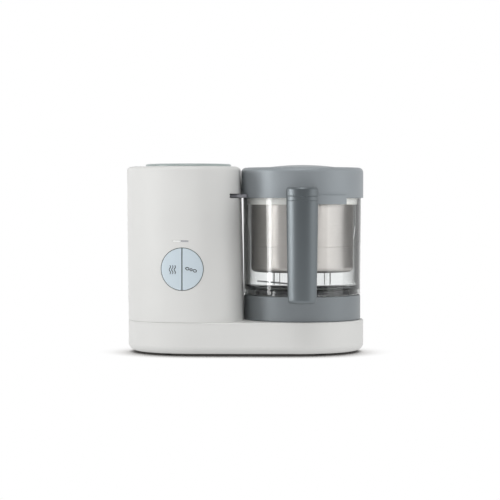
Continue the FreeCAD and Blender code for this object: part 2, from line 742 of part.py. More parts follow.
def tower_form(name, growth):
    """The tower's outline on the deck, grown by an amount and raised to its top with its draft."""
    radius = S.base_width / 2
    corner = smaller(S.tower_corner, tower_side - end_x - 2)
    near = tower_side - corner
    low = radius - corner
    outline = loop(
        (near, -radius - growth),
        (near + corner + growth, -low, corner + growth),
        (near + corner + growth, low),
        (near, radius + growth, corner + growth),
        (end_x, radius + growth),
        (end_x - radius - growth, 0, radius + growth),
        (end_x, -radius - growth, radius + growth),
    )
    form = new_body(name)
    rise = pad(form, [outline], deck_top, S.tower_height, taper=S.tower_draft)
    rise.UseCustomVector = True
    rise.AlongSketchNormal = True
    rise.Direction = Vector(0, 0, 1)
    bind(rise, "Direction.x", Size(f"-tan({S.tower_lean.text} * 1 deg)", 0))
    return place(form)


def tower_pieces():
    """The tower's housing with its saddle, boiler mouth, button hole, lever slot and steam outlet."""
    whole = cut("TowerSaddled", tower_form("TowerForm", as_size(0)), saddle("Saddle", saddle_radius))

    def upright(edge):
        """A test for the edges that run up both sides of the saddle."""
        spots = [math.hypot(item.X - bowl_x.number, item.Y - S.middle_y.number) for item in edge.Vertexes]
        off = max(abs(spot - saddle_radius.number) for spot in spots)
        return edge.BoundBox.ZLength > 1 and off < 1e-3

    softened = round_solid("TowerSoftened", whole, upright, S.saddle_round)
    rounded = round_solid("TowerRounded", softened, level_at(tower_top), S.tower_edge)
    void_form = tower_form("TowerVoidForm", -S.tower_wall)
    zone = (-end_x * 8, S.base_width * 2, S.tower_height)
    roof = block("TowerRoofZone", end_x * 4, -S.base_width, roof_under, *zone)
    void = cut("TowerVoid", void_form, saddle("SaddleWall", saddle_radius + S.tower_wall), roof)
    walls = cut("TowerWalls", rounded, void)

    # a shelf with a pin carries the interlock lever inside the front corner
    lever_x = tower_side - S.lever_back
    lever_z = deck_top + S.lever_level
    shelf_z = lever_z - S.loose_gap - S.shelf_thickness
    shelf_block = block(
        "ShelfBlock",
        lever_x - S.lever_boss * 2,
        -S.lever_forward - S.shelf_depth / 2 - S.lever_boss,
        shelf_z,
        S.shelf_length,
        S.shelf_depth,
        S.shelf_thickness,
    )
    inner_skin = tower_form("InnerSkin", S.tower_wall / -2)
    shelf = common("Shelf", shelf_block, inner_skin)
    pin_height = S.lever_thickness + S.loose_gap * 4 + S.shelf_thickness
    lever_pin = rod("LeverPin", S.lever_pin, pin_height, lever_x, -S.lever_forward, shelf_z)
    housing = fuse("TowerWithShelf", walls, shelf, lever_pin)

    mouth_radius = tank_radius - S.tank_wall
    mouth = rod("BoilerMouth", mouth_radius, S.tower_roof * 3, tank_x, 0, roof_under - S.tower_roof)
    opening_radius = S.button_radius + S.button_gap
    opening = rod("ButtonOpening", opening_radius, S.base_width, button_x, 0, button_z, -BACKWARD)
    light_x = button_x - S.light_shift
    window = block(
        "LightOpening",
        light_x - S.light_length - S.light_gap * 2,
        -S.base_width,
        button_z + S.light_level - S.light_height / 2 - S.light_gap,
        S.light_length * 2 + S.light_gap * 4,
        S.base_width,
        S.light_height + S.light_gap * 2,
    )
    side_x = bowl_x - saddle_radius
    bored = S.tower_wall * 4
    outlet = rod("OutletOpening", S.pipe_radius, bored, side_x - bored / 2, 0, steam_z, RIGHTWARD)
    seal_radius = S.pipe_radius + S.seal_width
    recess = rod("OutletRecess", seal_radius, bored, side_x - S.seal_depth, 0, steam_z, RIGHTWARD)
    lever_slot = block(
        "LeverSlot",
        lever_x + S.lever_boss,
        -S.lever_forward - S.lever_width / 2 - S.slot_front,
        lever_z - S.slot_margin,
        S.lever_back + S.lever_width,
        S.lever_width + S.slot_front + S.slot_back,
        S.lever_thickness + S.slot_margin * 2,
    )
    keep(cut("Tower", housing, mouth, opening, window, outlet, recess, lever_slot), "tower_housing")

    lever = new_body("InterlockLever")
    half = S.lever_width / 2
    reach = S.lever_reach
    bar = loop((0, -half), (reach, -half), (reach + half, 0, half), (reach, half, half), (0, half))
    pad(lever, [bar], 0, S.lever_thickness)
    pad(lever, [circle(0, 0, S.lever_boss)], 0, S.lever_thickness)
    pocket(lever, [circle(0, 0, S.lever_pin + S.shaft_fit)], S.lever_thickness, S.lever_thickness)
    turn(lever, Vector(0, 0, 1), S.lever_lean)
    keep(place(lever, lever_x, -S.lever_forward, lever_z), "interlock_lever")

    switch_y = -S.lever_forward + S.lever_boss + S.loose_gap
    micro = block(
        "InterlockSwitch",
        lever_x - S.lever_boss,
        switch_y,
        shelf_z + S.shelf_thickness,
        S.micro_length,
        S.micro_depth,
        S.micro_height,
    )
    keep(micro, "interlock_switch")


def saddle(name, radius):
    """An upright cylinder about the bowl's axis."""
    return rod(name, radius, tower_top + S.tower_height, bowl_x, 0, 0)


def boiler_pieces():
    """The steel boiler under the tower's roof, its heater, its steam pipe and its lid."""
    inner = tank_radius - S.tank_wall
    flange_top = roof_under - S.gasket_thickness
    bottom = flange_top - S.tank_depth
    inner_round = S.tank_round - S.tank_wall
    tank = revolve(
        "Boiler",
        loop(
            (0, bottom),
            (tank_radius - S.tank_round, bottom),
            (tank_radius, bottom + S.tank_round, S.tank_round),
            (tank_radius, flange_top - S.tank_wall),
            (flange_radius, flange_top - S.tank_wall),
            (flange_radius, flange_top),
            (inner, flange_top),
            (inner, bottom + S.tank_round),
            (inner - inner_round, bottom + S.tank_wall, -inner_round),
            (0, bottom + S.tank_wall),
        ),
    )
    place(tank, tank_x)
    side_x = bowl_x - saddle_radius
    pipe_start = tank_x + inner - S.pipe_entry
    passage = rod("BoilerOutlet", S.pipe_radius, tank_radius, tank_x, 0, steam_z, RIGHTWARD)
    keep(cut("BoilerOpened", tank, passage), "boiler_tank")

    gasket = revolve("BoilerGasket", rectangle(inner, flange_top, flange_radius, roof_under))
    keep(place(gasket, tank_x), "boiler_gasket")

    plate_foot = bottom - S.plate_thickness
    plate_radius = tank_radius - S.plate_margin
    heater_ring = plate_radius - S.heater_inset
    tube = S.heater_tube
    plate = revolve(
        "HeatingPlate",
        loop(
            (0, plate_foot),
            (heater_ring - tube, plate_foot),
            (heater_ring, plate_foot - tube, tube),
            (heater_ring + tube, plate_foot, tube),
            (plate_radius, plate_foot),
            (plate_radius, bottom),
            (0, bottom),
        ),
    )
    terminals = [circle(side * tube * 2, heater_ring, tube / 2) for side in (-1, 1)]
    pad(plate, terminals, plate_foot - tube - S.terminal_length, S.terminal_length + tube)
    keep(place(plate, tank_x), "heating_plate")

    spot = (tank_x, 0, plate_foot - S.thermostat_height)
    keep(rod("Thermostat", S.thermostat_radius, S.thermostat_height, *spot), "thermostat")

    length = side_x - pipe_start
    pipe = rod("PipeOutside", S.pipe_radius, length, pipe_start, 0, steam_z, RIGHTWARD)
    bore = rod("PipeBore", S.pipe_radius - S.pipe_wall, length, pipe_start, 0, steam_z, RIGHTWARD)
    keep(cut("SteamPipe", pipe, bore), "steam_pipe")
    seal_length = S.seal_depth + S.seal_proud
    seal_x = side_x - S.seal_depth
    ring = rod("OutletSealRing", S.pipe_radius + S.seal_width, seal_length, seal_x, 0, steam_z, RIGHTWARD)
    hole = rod("OutletSealHole", S.pipe_radius, seal_length, seal_x, 0, steam_z, RIGHTWARD)
    keep(cut("OutletSeal", ring, hole), "steam_outlet_seal")

    lid_top = tower_top + S.tank_lid_rise
    lid_radius = tank_radius + S.tank_lid_lap
    plug = inner - S.loose_gap - S.tank_seal_width
    plug_foot = tower_top - S.tank_plug_depth
    dish = lid_top - S.tank_lid_dip
    edge = S.tank_lid_edge
    lid = revolve(
        "TankLid",
        loop(
            (0, tower_top),
            (plug - S.tank_plug_wall, tower_top),
            (plug - S.tank_plug_wall, plug_foot),
            (plug, plug_foot),
            (plug, tower_top),
            (lid_radius, tower_top),
            (lid_radius, lid_top - edge),
            (lid_radius - edge, lid_top, edge),
            (S.tank_lid_dish, lid_top),
            (S.tank_lid_dish - S.tank_lid_dip * 4, dish),
            (0, dish),
        ),
    )
    keep(place(lid, tank_x), "tank_lid")
    seal_foot = plug_foot + S.tank_seal_height / 2
    seal = revolve(
        "TankLidSeal", rectangle(plug, seal_foot, plug + S.tank_seal_width, seal_foot + S.tank_seal_height)
    )
    keep(place(seal, tank_x), "tank_lid_seal")


def control_pieces():
    """Two half-round buttons in a frame, the board behind them with its switches, and two lights."""
    skin = cut(
        "ButtonSkin",
        tower_form("ButtonOuter", S.button_proud),
        tower_form("ButtonInner", S.button_proud - S.button_shell),
    )
    board_y = -S.board_forward
    plunger_y = board_y - S.switch_height - S.plunger_height
    stem_end = plunger_y - S.button_travel - S.loose_gap
    # the stems end inside the curved buttons, half way to their fronts
    stem_form = tower_form("StemForm", S.button_proud - S.button_shell / 2)
    for label, side in (("steam_button", -1), ("blend_button", 1)):
        disc = rod(f"Disc{label}", S.button_radius, S.base_width, button_x, 0, button_z, -BACKWARD)
        edge_x = button_x + side * S.button_split / 2
        far_x = edge_x if side > 0 else edge_x - S.button_radius * 2
        half = block(
            f"Half{label}",
            far_x,
            -S.base_width,
            button_z - S.button_radius * 2,
            S.button_radius * 2,
            S.base_width,
            S.button_radius * 4,
        )
        face = common(f"Face{label}", disc, half, skin)
        stem_x = button_x + side * S.stem_offset
        post = rod(f"Post{label}", S.stem_radius, S.base_width, stem_x, stem_end, button_z, -BACKWARD)
        keep(fuse(f"Button{label}", face, common(f"Stem{label}", post, stem_form)), label)

    inner = S.button_radius + S.button_gap
    tube = rod("FrameOutside", inner + S.frame_wall, S.base_width, button_x, board_y, button_z, -BACKWARD)
    bore = rod("FrameInside", inner, S.base_width, button_x, board_y, button_z, -BACKWARD)
    ring = cut("FrameTube", tube, bore)
    keep(common("ButtonFrame", ring, tower_form("FrameForm", -S.tower_wall)), "button_frame")

    board = block(
        "ControlBoard",
        button_x - S.board_width / 2,
        board_y,
        button_z - S.board_drop,
        S.board_width,
        S.board_thickness,
        S.board_height,
    )
    keep(board, "control_board")
    switches = []
    for side in (-1, 1):
        switch_x = button_x + side * S.stem_offset
        case = block(
            "SwitchCase",
            switch_x - S.switch_size / 2,
            board_y - S.switch_height,
            button_z - S.switch_size / 2,
            S.switch_size,
            S.switch_height,
            S.switch_size,
        )
        plunger = rod(
            "SwitchPlunger",
            S.plunger_radius,
            S.plunger_height,
            switch_x,
            board_y - S.switch_height,
            button_z,
            -BACKWARD,
        )
        switches.append(fuse("PushSwitch", case, plunger))
    keep(group("PushSwitches", *switches), "push_switches")

    light_form = tower_form("LightForm", S.light_proud)
    light_x = button_x - S.light_shift
    left_end = light_x - S.light_length - S.light_gap
    for label, start in (("steam_light", left_end), ("blend_light", light_x + S.light_gap)):
        bar = block(
            f"Bar{label}",
            start,
            -S.base_width,
            button_z + S.light_level - S.light_height / 2,
            S.light_length,
            S.base_width + board_y,
            S.light_height,
        )
        keep(common(f"Light{label}", bar, light_form), label)


def pulley(name, land, hub_height, rim=None):
    """A flanged pulley; a wide one is thinned to a web inside its rim."""
    lip = land + S.pulley_lip
    low = pulley_foot + S.pulley_flange
    high = low + S.pulley_land
    outside = [
        (S.shaft_radius, pulley_foot),
        (lip, pulley_foot),
        (lip, low),
        (land, low),
        (land, high),
        (lip, high),
        (lip, pulley_top),
    ]
    web = [] if rim is None else [(land - rim, pulley_top), (land - rim, pulley_foot + S.pulley_web)]
    root = pulley_top if rim is None else pulley_foot + S.pulley_web
    hub = [(S.pulley_hub, root), (S.pulley_hub, hub_height), (S.shaft_radius, hub_height)]
    return revolve(name, loop(*outside, *web, *hub))


def drive_pieces():
    """The motor on the deck, the belt in the base and the spindle under the bowl."""
    can_foot = deck_top + S.bracket_thickness
    can_top = can_foot + S.motor_length
    bore = S.shaft_radius + S.shaft_fit
    can = revolve(
        "MotorCan",
        loop(
            (bore, can_foot),
            (S.motor_radius, can_foot),
            (S.motor_radius, can_top - S.motor_edge),
            (S.motor_radius - S.motor_edge, can_top, S.motor_edge),
            (S.motor_boss, can_top),
            (S.motor_boss, can_top + S.motor_boss_height),
            (bore, can_top + S.motor_boss_height),
        ),
    )
    half = S.motor_vent_width / 2
    low = can_foot + S.motor_length / 2 - S.motor_vent_height / 2
    vent = pocket(
        can,
        [rectangle(-half, low, half, low + S.motor_vent_height)],
        S.motor_radius + S.motor_vent_depth,
        S.motor_vent_depth * 2,
        "XZ_Plane",
    )
    around(can, vent, S.motor_vents)
    keep(place(can, motor_x), "motor_can")

    passage = S.motor_pulley_radius + S.pulley_lip + S.pulley_passage
    bracket = revolve("MotorPlate", rectangle(passage, deck_top, S.bracket_radius, can_foot))
    keep(place(bracket, motor_x), "motor_plate")

    shaft_top = can_top + S.motor_boss_height + S.shaft_stub
    shaft = rod("MotorShaft", S.shaft_radius, shaft_top - pulley_foot, motor_x, 0, pulley_foot)
    keep(shaft, "motor_shaft")
    keep(place(pulley("MotorPulley", S.motor_pulley_radius, deck_under), motor_x), "motor_pulley")

    top_bearing = deck_top - S.bearing_inset - S.bearing_height
    low_bearing = top_bearing - S.bearing_spacing - S.bearing_height
    lip = S.bearing_radius - S.housing_lip
    housing_foot = low_bearing - S.bearing_inset
    hub = S.bearing_radius + S.housing_wall
    housing = revolve(
        "BearingHousing",
        loop(
            (lip, housing_foot),
            (hub, housing_foot),
            (hub, deck_under - S.flange_thickness),
            (S.housing_flange, deck_under - S.flange_thickness),
            (S.housing_flange, deck_under),
            (S.housing_spigot, deck_under),
            (S.housing_spigot, deck_top),
            (S.bearing_radius, deck_top),
            (S.bearing_radius, top_bearing),
            (lip, top_bearing),
            (lip, low_bearing + S.bearing_height),
            (S.bearing_radius, low_bearing + S.bearing_height),
            (S.bearing_radius, low_bearing),
            (lip, low_bearing),
        ),
    )
    keep(place(housing, bowl_x), "bearing_housing")
    for label, foot in (("upper_bearing", top_bearing), ("lower_bearing", low_bearing)):
        ring = revolve(f"Ring{label}", rectangle(bore, foot, S.bearing_radius, foot + S.bearing_height))
        keep(place(ring, bowl_x), label)

    shoulder_foot = top_bearing + S.bearing_height + S.axial_gap
    dog_foot = deck_top + S.dog_gap
    spindle = revolve(
        "Spindle",
        loop(
            (0, pulley_foot),
            (S.shaft_radius, pulley_foot),
            (S.shaft_radius, shoulder_foot),
            (S.spindle_shoulder, shoulder_foot),
            (S.spindle_shoulder, dog_foot),
            (S.shaft_radius, dog_foot),
            (S.shaft_radius, spindle_top),
            (0, spindle_top),
        ),
    )
    keep(place(spindle, bowl_x), "drive_spindle")
    driven = pulley("DrivenPulley", S.driven_pulley_radius, low_bearing - S.axial_gap, S.pulley_rim)
    keep(place(driven, bowl_x), "driven_pulley")

    dog = new_body("DriveDog")
    pad(dog, [circle(0, 0, S.dog_core), circle(0, 0, S.shaft_radius)], dog_foot, S.dog_height)
    lug_start = S.dog_core - S.dog_lug / 2
    lug = pad(
        dog, [rectangle(lug_start, S.dog_lug / -2, S.dog_radius, S.dog_lug / 2)], dog_foot, S.dog_height
    )
    around(dog, lug, S.dog_lugs)
    keep(place(dog, bowl_x), "drive_dog")

    belt = new_body("DriveBelt")
    belt_foot = pulley_foot + S.pulley_flange + (S.pulley_land - S.belt_width) / 2
    outlines = [belt_line(S.belt_gap + S.belt_thickness), belt_line(S.belt_gap)]
    pad(belt, outlines, belt_foot, S.belt_width)
    keep(place(belt, motor_x), "drive_belt")


def belt_line(offset):
    """A loop round both pulleys at an offset: two arcs about their axes and two lines that touch them."""
    small = S.motor_pulley_radius + offset
    large = S.driven_pulley_radius + offset
    span = bowl_x - motor_x

    def draw(drawing):
        lean = math.asin((large.number - small.number) / span.number)
        first = drawing.GeometryCount
        spots = ((Vector(0, 0, 0), small.number), (Vector(span.number, 0, 0), large.number))
        touch = [
            [spot + Vector(-math.sin(lean), side * math.cos(lean), 0) * radius for spot, radius in spots]
            for side in (-1, 1)
        ]
        quarter = math.pi / 2
        rings = [Part.Circle(spot, Vector(0, 0, 1), radius) for spot, radius in spots]
        left = Part.ArcOfCircle(rings[0], quarter + lean, 3 * quarter - lean)
        right = Part.ArcOfCircle(rings[1], -quarter - lean, quarter + lean)
        drawing.addGeometry(left, False)
        drawing.addGeometry(Part.LineSegment(*touch[0]), False)
        drawing.addGeometry(right, False)
        drawing.addGeometry(Part.LineSegment(touch[1][1], touch[1][0]), False)
        for index in range(4):
            after = first + (index + 1) % 4
            drawing.addConstraint(Sketcher.Constraint("Tangent", first + index, 2, after, 1))
        pin(drawing, first, 3, 0, 0)
        pin(drawing, first + 2, 3, span, 0)
        hold_radius(drawing, first, small)
        hold_radius(drawing, first + 2, large)

    return draw


def bowl_base_pieces():
    """The seat on the deck, and the collar under the bowl with its gasket, ring, bush and shaft seal."""
    recess = S.collar_radius - S.collar_wall
    seat_radius = recess - S.seat_gap
    seat = new_body("BowlSeat")
    band = [circle(0, 0, seat_radius), circle(0, 0, seat_radius - S.seat_width)]
    pad(seat, band, deck_top, S.seat_height)
    half = S.seat_key_width / 2
    inner = seat_radius - S.seat_width
    key = pad(
        seat,
        [rectangle(inner + S.seat_gap, -half, seat_radius - S.seat_gap * 4, half)],
        deck_top,
        S.seat_height + S.seat_key_height,
    )
    around(seat, key, S.seat_keys)
    keep(place(seat, bowl_x), "bowl_seat")

    edge = S.collar_edge
    thread = S.collar_radius - S.thread_wall
    neck = thread - S.neck_gap
    collar = revolve(
        "BowlCollar",
        loop(
            (S.bush_radius, collar_floor_under),
            (recess, collar_floor_under),
            (recess, deck_top),
            (S.collar_radius - edge, deck_top),
            (S.collar_radius, deck_top + edge, edge),
            (S.collar_radius, collar_top - edge),
            (S.collar_radius - edge, collar_top, edge),
            (thread, collar_top),
            (thread, collar_floor_top),
            (S.hub_radius, collar_floor_top),
            (S.hub_radius, hub_top),
            (S.bush_radius, hub_top),
        ),
    )
    keep(place(collar, bowl_x), "bowl_collar")

    gasket_top = collar_floor_top + S.ring_thickness
    gasket = revolve("BowlGasket", rectangle(neck - S.neck_wall, collar_floor_top, neck, gasket_top))
    keep(place(gasket, bowl_x), "bowl_gasket")

    ring = neck - S.neck_wall - S.ring_gap
    ring_top = collar_floor_top + S.ring_rise
    liner = revolve("NeckRing", rectangle(ring - S.ring_wall, collar_floor_top, ring, ring_top))
    keep(place(liner, bowl_x), "neck_ring")

    bore = S.shaft_radius + S.shaft_fit
    bush = revolve(
        "BladeBush",
        loop(
            (bore, collar_floor_under),
            (S.bush_radius, collar_floor_under),
            (S.bush_radius, hub_top),
            (S.bush_flange, hub_top),
            (S.bush_flange, hub_top + S.bush_lip),
            (bore, hub_top + S.bush_lip),
        ),
    )
    keep(place(bush, bowl_x), "blade_bush")
    seal = revolve("BladeSeal", rectangle(bore, hub_top + S.bush_lip, S.bush_flange, seal_top))
    keep(place(seal, bowl_x), "blade_seal")


def blade_pieces():
    """The blade's shaft with its coupling below, and two curved blades clamped on a hub by a nut."""
    radius = S.shaft_radius
    length = nut_top - S.nut_round - coupling_roof_under
    keep(rod("BladeShaft", radius, length, bowl_x, 0, coupling_roof_under), "blade_shaft")

    coupling = new_body("Coupling")
    outer = S.dog_radius + S.coupling_wall
    roof_top = coupling_roof_under + S.coupling_roof
    pad(coupling, [circle(0, 0, outer)], coupling_foot, roof_top - coupling_foot)
    depth = coupling_roof_under - coupling_foot
    pocket(coupling, [circle(0, 0, S.dog_core + S.mesh_gap)], coupling_roof_under, depth)
    half = S.dog_lug / 2 + S.mesh_gap
    lug_slot = pocket(
        coupling,
        [rectangle(S.dog_core - half, -half, S.dog_radius + S.mesh_gap, half)],
        coupling_roof_under,
        depth,
    )
    around(coupling, lug_slot, S.dog_lugs)
    pocket(coupling, [circle(0, 0, radius)], roof_top, S.coupling_roof)
    keep(place(coupling, bowl_x), "driven_coupling")

    hub = revolve(
        "BladeHub",
        loop(
            (radius, blade_foot),
            (S.blade_hub_foot, blade_foot),
            (S.blade_hub_top, lower_blade_z),
            (radius, lower_blade_z),
        ),
    )
    keep(place(hub, bowl_x), "blade_hub")
    # each blade is a flat ring on the shaft with one curved arm that leans upward to its tip
    for label, foot, heading in (("lower_blade", lower_blade_z, 0), ("upper_blade", upper_blade_z, 180)):
        arm = new_body(f"Arm{label}")
        outline = loop(
            (0, -S.blade_root),
            (S.blade_reach, S.blade_sweep, S.blade_outer),
            (0, S.blade_root, -S.blade_inner),
        )
        pad(arm, [outline], 0, S.blade_thickness)
        lean = Rotation(Vector(0, 0, 1), heading) * Rotation(RIGHTWARD, -S.blade_rise.number)
        arm.Placement.Rotation = lean
        place(arm, bowl_x, 0, foot)
        lifted = block(
            f"Above{label}",
            bowl_x - S.blade_reach * 2,
            -S.blade_reach * 2,
            foot,
            S.blade_reach * 4,
            S.blade_reach * 4,
            S.blade_reach,
        )
        ring = rod(f"Ring{label}", S.blade_ring, S.blade_thickness, bowl_x, 0, foot)
        core = rod(f"Core{label}", radius, S.blade_reach * 2, bowl_x, 0, foot - S.blade_reach)
        above = rod(f"Top{label}", S.blade_ring, S.blade_reach, bowl_x, 0, foot + S.blade_thickness)
        trimmed = cut(f"Trimmed{label}", common(f"Raised{label}", arm, lifted), above)
        keep(cut(f"Blade{label}", fuse(f"Joined{label}", trimmed, ring), core), label)
    spacer_foot = lower_blade_z + S.blade_thickness
    spacer_radius = S.blade_ring - S.blade_thickness
    spacer = revolve("BladeSpacer", rectangle(radius, spacer_foot, spacer_radius, upper_blade_z))
    keep(place(spacer, bowl_x), "blade_spacer")
    low = nut_top - S.nut_round
    nut = revolve(
        "BladeNut",
        loop(
            (0, low),
            (radius, low),
            (radius, nut_foot),
            (S.nut_radius, nut_foot),
            (S.nut_radius, low),
            (S.nut_radius - S.nut_round, nut_top, S.nut_round),
            (0, nut_top),
        ),
    )
    keep(place(nut, bowl_x), "blade_nut")


def bowl_pieces():
    """The glass bowl with its neck, ribs and boss, and the handle on that boss."""
    neck = S.collar_radius - S.thread_wall - S.neck_gap
    neck_foot = collar_floor_top + S.ring_thickness + S.neck_clear
    inner_neck = neck - S.neck_wall
    floor = glass_foot_z + S.glass_floor
    bend = S.glass_floor_round
    inner_foot = S.glass_foot - S.glass_wall
    inner_mouth = S.glass_mouth - S.glass_wall
    step = glass_top - S.step_depth
    edge = S.glass_foot_edge
    lip = S.glass_lip
    glass = revolve(
        "Glass",
        loop(
            (inner_neck, neck_foot),
            (neck, neck_foot),
            (neck, glass_foot_z),
            (S.glass_foot - edge, glass_foot_z),
            (S.glass_foot, glass_foot_z + edge, edge),
            (S.glass_mouth, glass_top - lip),
            (S.glass_mouth - lip, glass_top, lip),
            (inner_mouth, glass_top),
            (inner_mouth, step),
            (inner_mouth - S.step_width, step),
            (inner_foot, floor + bend),
            (inner_foot - bend, floor, -bend),
            (inner_neck, floor),
        ),
    )
    rib_foot = floor
    rib_top = glass_foot_z + S.rib_top
    wall = S.glass_foot - S.glass_wall / 2
    crest = inner_foot - S.rib_depth
    rib = pad(
        glass,
        [
            loop(
                (crest, rib_foot),
                (wall, rib_foot),
                (wall, rib_top),
                (inner_foot, rib_top),
                (crest, rib_top - S.rib_slope),
            )
        ],
        0,
        S.rib_width,
        "XZ_Plane",
        both=True,
    )
    around(glass, rib, S.ribs, 180)
    boss_foot = grip_top - S.boss_drop
    boss_half = S.boss_width / 2
    boss = [rectangle(-boss_half, boss_foot, boss_half, boss_foot + S.boss_height)]
    pad(glass, boss, wall, S.glass_mouth + S.boss_forward - wall, "XZ_Plane")
    keep(place(glass, bowl_x), "bowl_glass")

    grip = new_body("Grip")
    foot = glass_foot_z - S.grip_foot
    back = front_face - S.grip_depth
    bar = pad(grip, [grip_section(S.grip_width, back)], grip_top, grip_top - foot, taper=-S.grip_draft)
    bar.Reversed = True
    round_edges(grip, level_at(foot), S.grip_end)
    arm_top = grip_top - S.arm_drop
    arm_half = S.arm_width / 2
    arm_end = S.glass_mouth + S.arm_gap
    arm = [rectangle(-arm_half, arm_top - S.arm_height, arm_half, arm_top)]
    pad(grip, arm, arm_end, back + S.grip_depth / 2 - arm_end, "XZ_Plane")
    # the head reaches back over the arm as far as the tab of the lid, and the arm steps up to it
    head_back = S.glass_mouth + S.tab_gap + S.tab_thickness + S.head_gap
    step = [rectangle(-arm_half, arm_top - S.arm_drop, arm_half, grip_top)]
    pad(grip, step, head_back, back + S.grip_depth / 2 - head_back, "XZ_Plane")
    socket_depth = S.glass_mouth + S.boss_forward - arm_end
    pocket(grip, boss, S.glass_mouth + S.boss_forward, socket_depth, "XZ_Plane")
    keep(place(grip, bowl_x), "handle_grip")

    band = new_body("HandleBand")
    pad(band, [grip_section(S.grip_width, head_back)], grip_top, S.band_height)
    round_edges(band, lambda edge: level_at(grip_top)(edge) or level_at(band_top)(edge), S.parting_round)
    keep(place(band, bowl_x), "handle_band")
    cap = new_body("HandleCap")
    pad(cap, [grip_section(S.head_width, head_back)], band_top, S.cap_height)
    round_edges(cap, level_at(cap_top), S.cap_round)
    round_edges(cap, level_at(band_top), S.parting_round)
    keep(place(cap, bowl_x), "handle_cap")


def grip_section(width, back):
    """A section of the handle: a flat back, and a front arc that meets the sides in smaller arcs."""
    half = width / 2
    front = S.grip_bulge
    side = S.grip_side
    corner = S.grip_back
    reach = front - side
    inset = half - side
    fall = root(reach * reach - inset * inset)
    centre = front - front_face
    meet_x = front * inset / reach
    meet_y = centre - front * fall / reach
    return loop(
        (half - corner, -back, corner),
        (corner - half, -back),
        (-half, -back - corner, corner),
        (-half, centre - fall),
        (-meet_x, meet_y, side),
        (meet_x, meet_y, front),
        (half, centre - fall, side),
        (half, -back - corner),
    )


def basket_pieces():
    """The steel steam basket with holes in its bottom, hung in the bowl's mouth by a moulded rim."""
    step = glass_top - S.step_depth
    radius = S.glass_mouth - S.glass_wall - S.basket_gap
    sheet_inner = radius - S.basket_sheet
    flange_foot = step + S.rim_drop
    top = flange_foot + S.basket_sheet
    bottom = nut_top + S.basket_clearance
    bend = S.basket_round
    inner_bend = bend - S.basket_sheet
    basket = revolve(
        "Basket",
        loop(
            (0, bottom),
            (radius - bend, bottom),
            (radius, bottom + bend, bend),
            (radius, flange_foot),
            (radius + S.basket_flange, flange_foot),
            (radius + S.basket_flange, top),
            (sheet_inner, top),
            (sheet_inner, bottom + bend),
            (sheet_inner - inner_bend, bottom + S.basket_sheet, -inner_bend),
            (0, bottom + S.basket_sheet),
        ),
    )
    pocket(basket, [circle(0, 0, S.hole_radius)], bottom + S.basket_sheet, S.basket_sheet)
    for ring in range(1, int(S.hole_rings.number) + 1):
        hole = pocket(
            basket, [circle(S.hole_pitch * ring, 0, S.hole_radius)], bottom + S.basket_sheet, S.basket_sheet
        )
        around(basket, hole, as_size(6 * ring))
    keep(place(basket, bowl_x), "steam_basket")

    outer = S.glass_mouth - S.glass_wall - S.loose_gap
    ledge = radius + S.basket_flange
    rim = revolve(
        "BasketRim",
        loop(
            (radius, step),
            (outer, step),
            (outer, step + S.rim_height),
            (ledge, step + S.rim_height),
            (ledge, flange_foot),
            (radius, flange_foot),
        ),
    )
    keep(place(rim, bowl_x), "basket_rim")


def lid_pieces():
    """The hollow lid with its tab and steam inlet, the seal on the bowl's edge and the diffuser."""
    inner = S.lid_radius - S.lid_wall
    edge = S.lid_edge
    inner_edge = edge - S.lid_wall
    top = lid_side_top + S.lid_dome
    flat = S.lid_radius - edge
    # the radius of the dome's arc follows from its width and its rise
    dome = (S.dome_radius * S.dome_radius + S.lid_dome * S.lid_dome) / (2 * S.lid_dome)
    roof = lid_side_top - S.lid_wall
    body = revolve(
        "Lid",
        loop(
            (S.lid_radius, lid_foot),
            (S.lid_radius, lid_side_top - edge),
            (flat, lid_side_top, edge),
            (S.dome_radius, lid_side_top),
            (0, top, dome),
            (0, roof),
            (inner - inner_edge, roof),
            (inner, roof - inner_edge, -inner_edge),
            (inner, lid_foot),
        ),
    )
    place(body, bowl_x)
    tab_inner = S.glass_mouth + S.tab_gap
    tab_foot = lid_foot - S.tab_drop
    tab_height = S.tab_drop + S.tab_rise
    sector = rod("TabSector", tab_inner + S.tab_thickness, tab_height, bowl_x, 0, tab_foot)
    bind(sector, "Angle", S.tab_sweep)
    turn(sector, Vector(0, 0, 1), S.tab_start)
    inside = rod("TabInside", tab_inner, tab_height, bowl_x, 0, tab_foot)
    whole = fuse("LidWithTab", body, cut("LidTab", sector, inside))
    inlet_x = bowl_x - S.lid_radius * 1.5
    inlet = rod("LidInlet", S.inlet_radius, S.lid_radius, inlet_x, 0, steam_z, RIGHTWARD)
    keep(cut("LidOpened", whole, inlet), "bowl_lid")

    plate_foot = lid_foot + S.lid_seal_height
    seal = revolve("LidSeal", rectangle(inner - S.lid_seal_width, lid_foot, inner, plate_foot))
    keep(place(seal, bowl_x), "lid_seal")
    diffuser = new_body("Diffuser")
    pad(diffuser, [circle(0, 0, inner)], plate_foot, S.diffuser_thickness)
    hole = pocket(
        diffuser,
        [circle(S.diffuser_ring, 0, S.diffuser_hole)],
        plate_foot + S.diffuser_thickness,
        S.diffuser_thickness,
    )
    around(diffuser, hole, S.diffuser_holes)
    keep(place(diffuser, bowl_x), "steam_diffuser")


base_pieces()
tower_pieces()
boiler_pieces()
control_pieces()
drive_pieces()
bowl_base_pieces()
blade_pieces()
bowl_pieces()
basket_pieces()
lid_pieces()
doc.recompute()

failed = [item.Name for item in doc.Objects if {"Invalid", "Error"} & set(item.State)]
if failed:
    raise ValueError(f"these objects failed: {failed}")
for piece in pieces:
    if piece.Shape.isNull() or not piece.Shape.isValid() or not piece.Shape.Solids:
        raise ValueError(f"{piece.Label} has no sound solid")

os.makedirs("parts", exist_ok=True)
for piece in pieces:
    piece.Shape.exportStep(f"parts/{piece.Label}.step")
print(f"{len(pieces)} pieces")
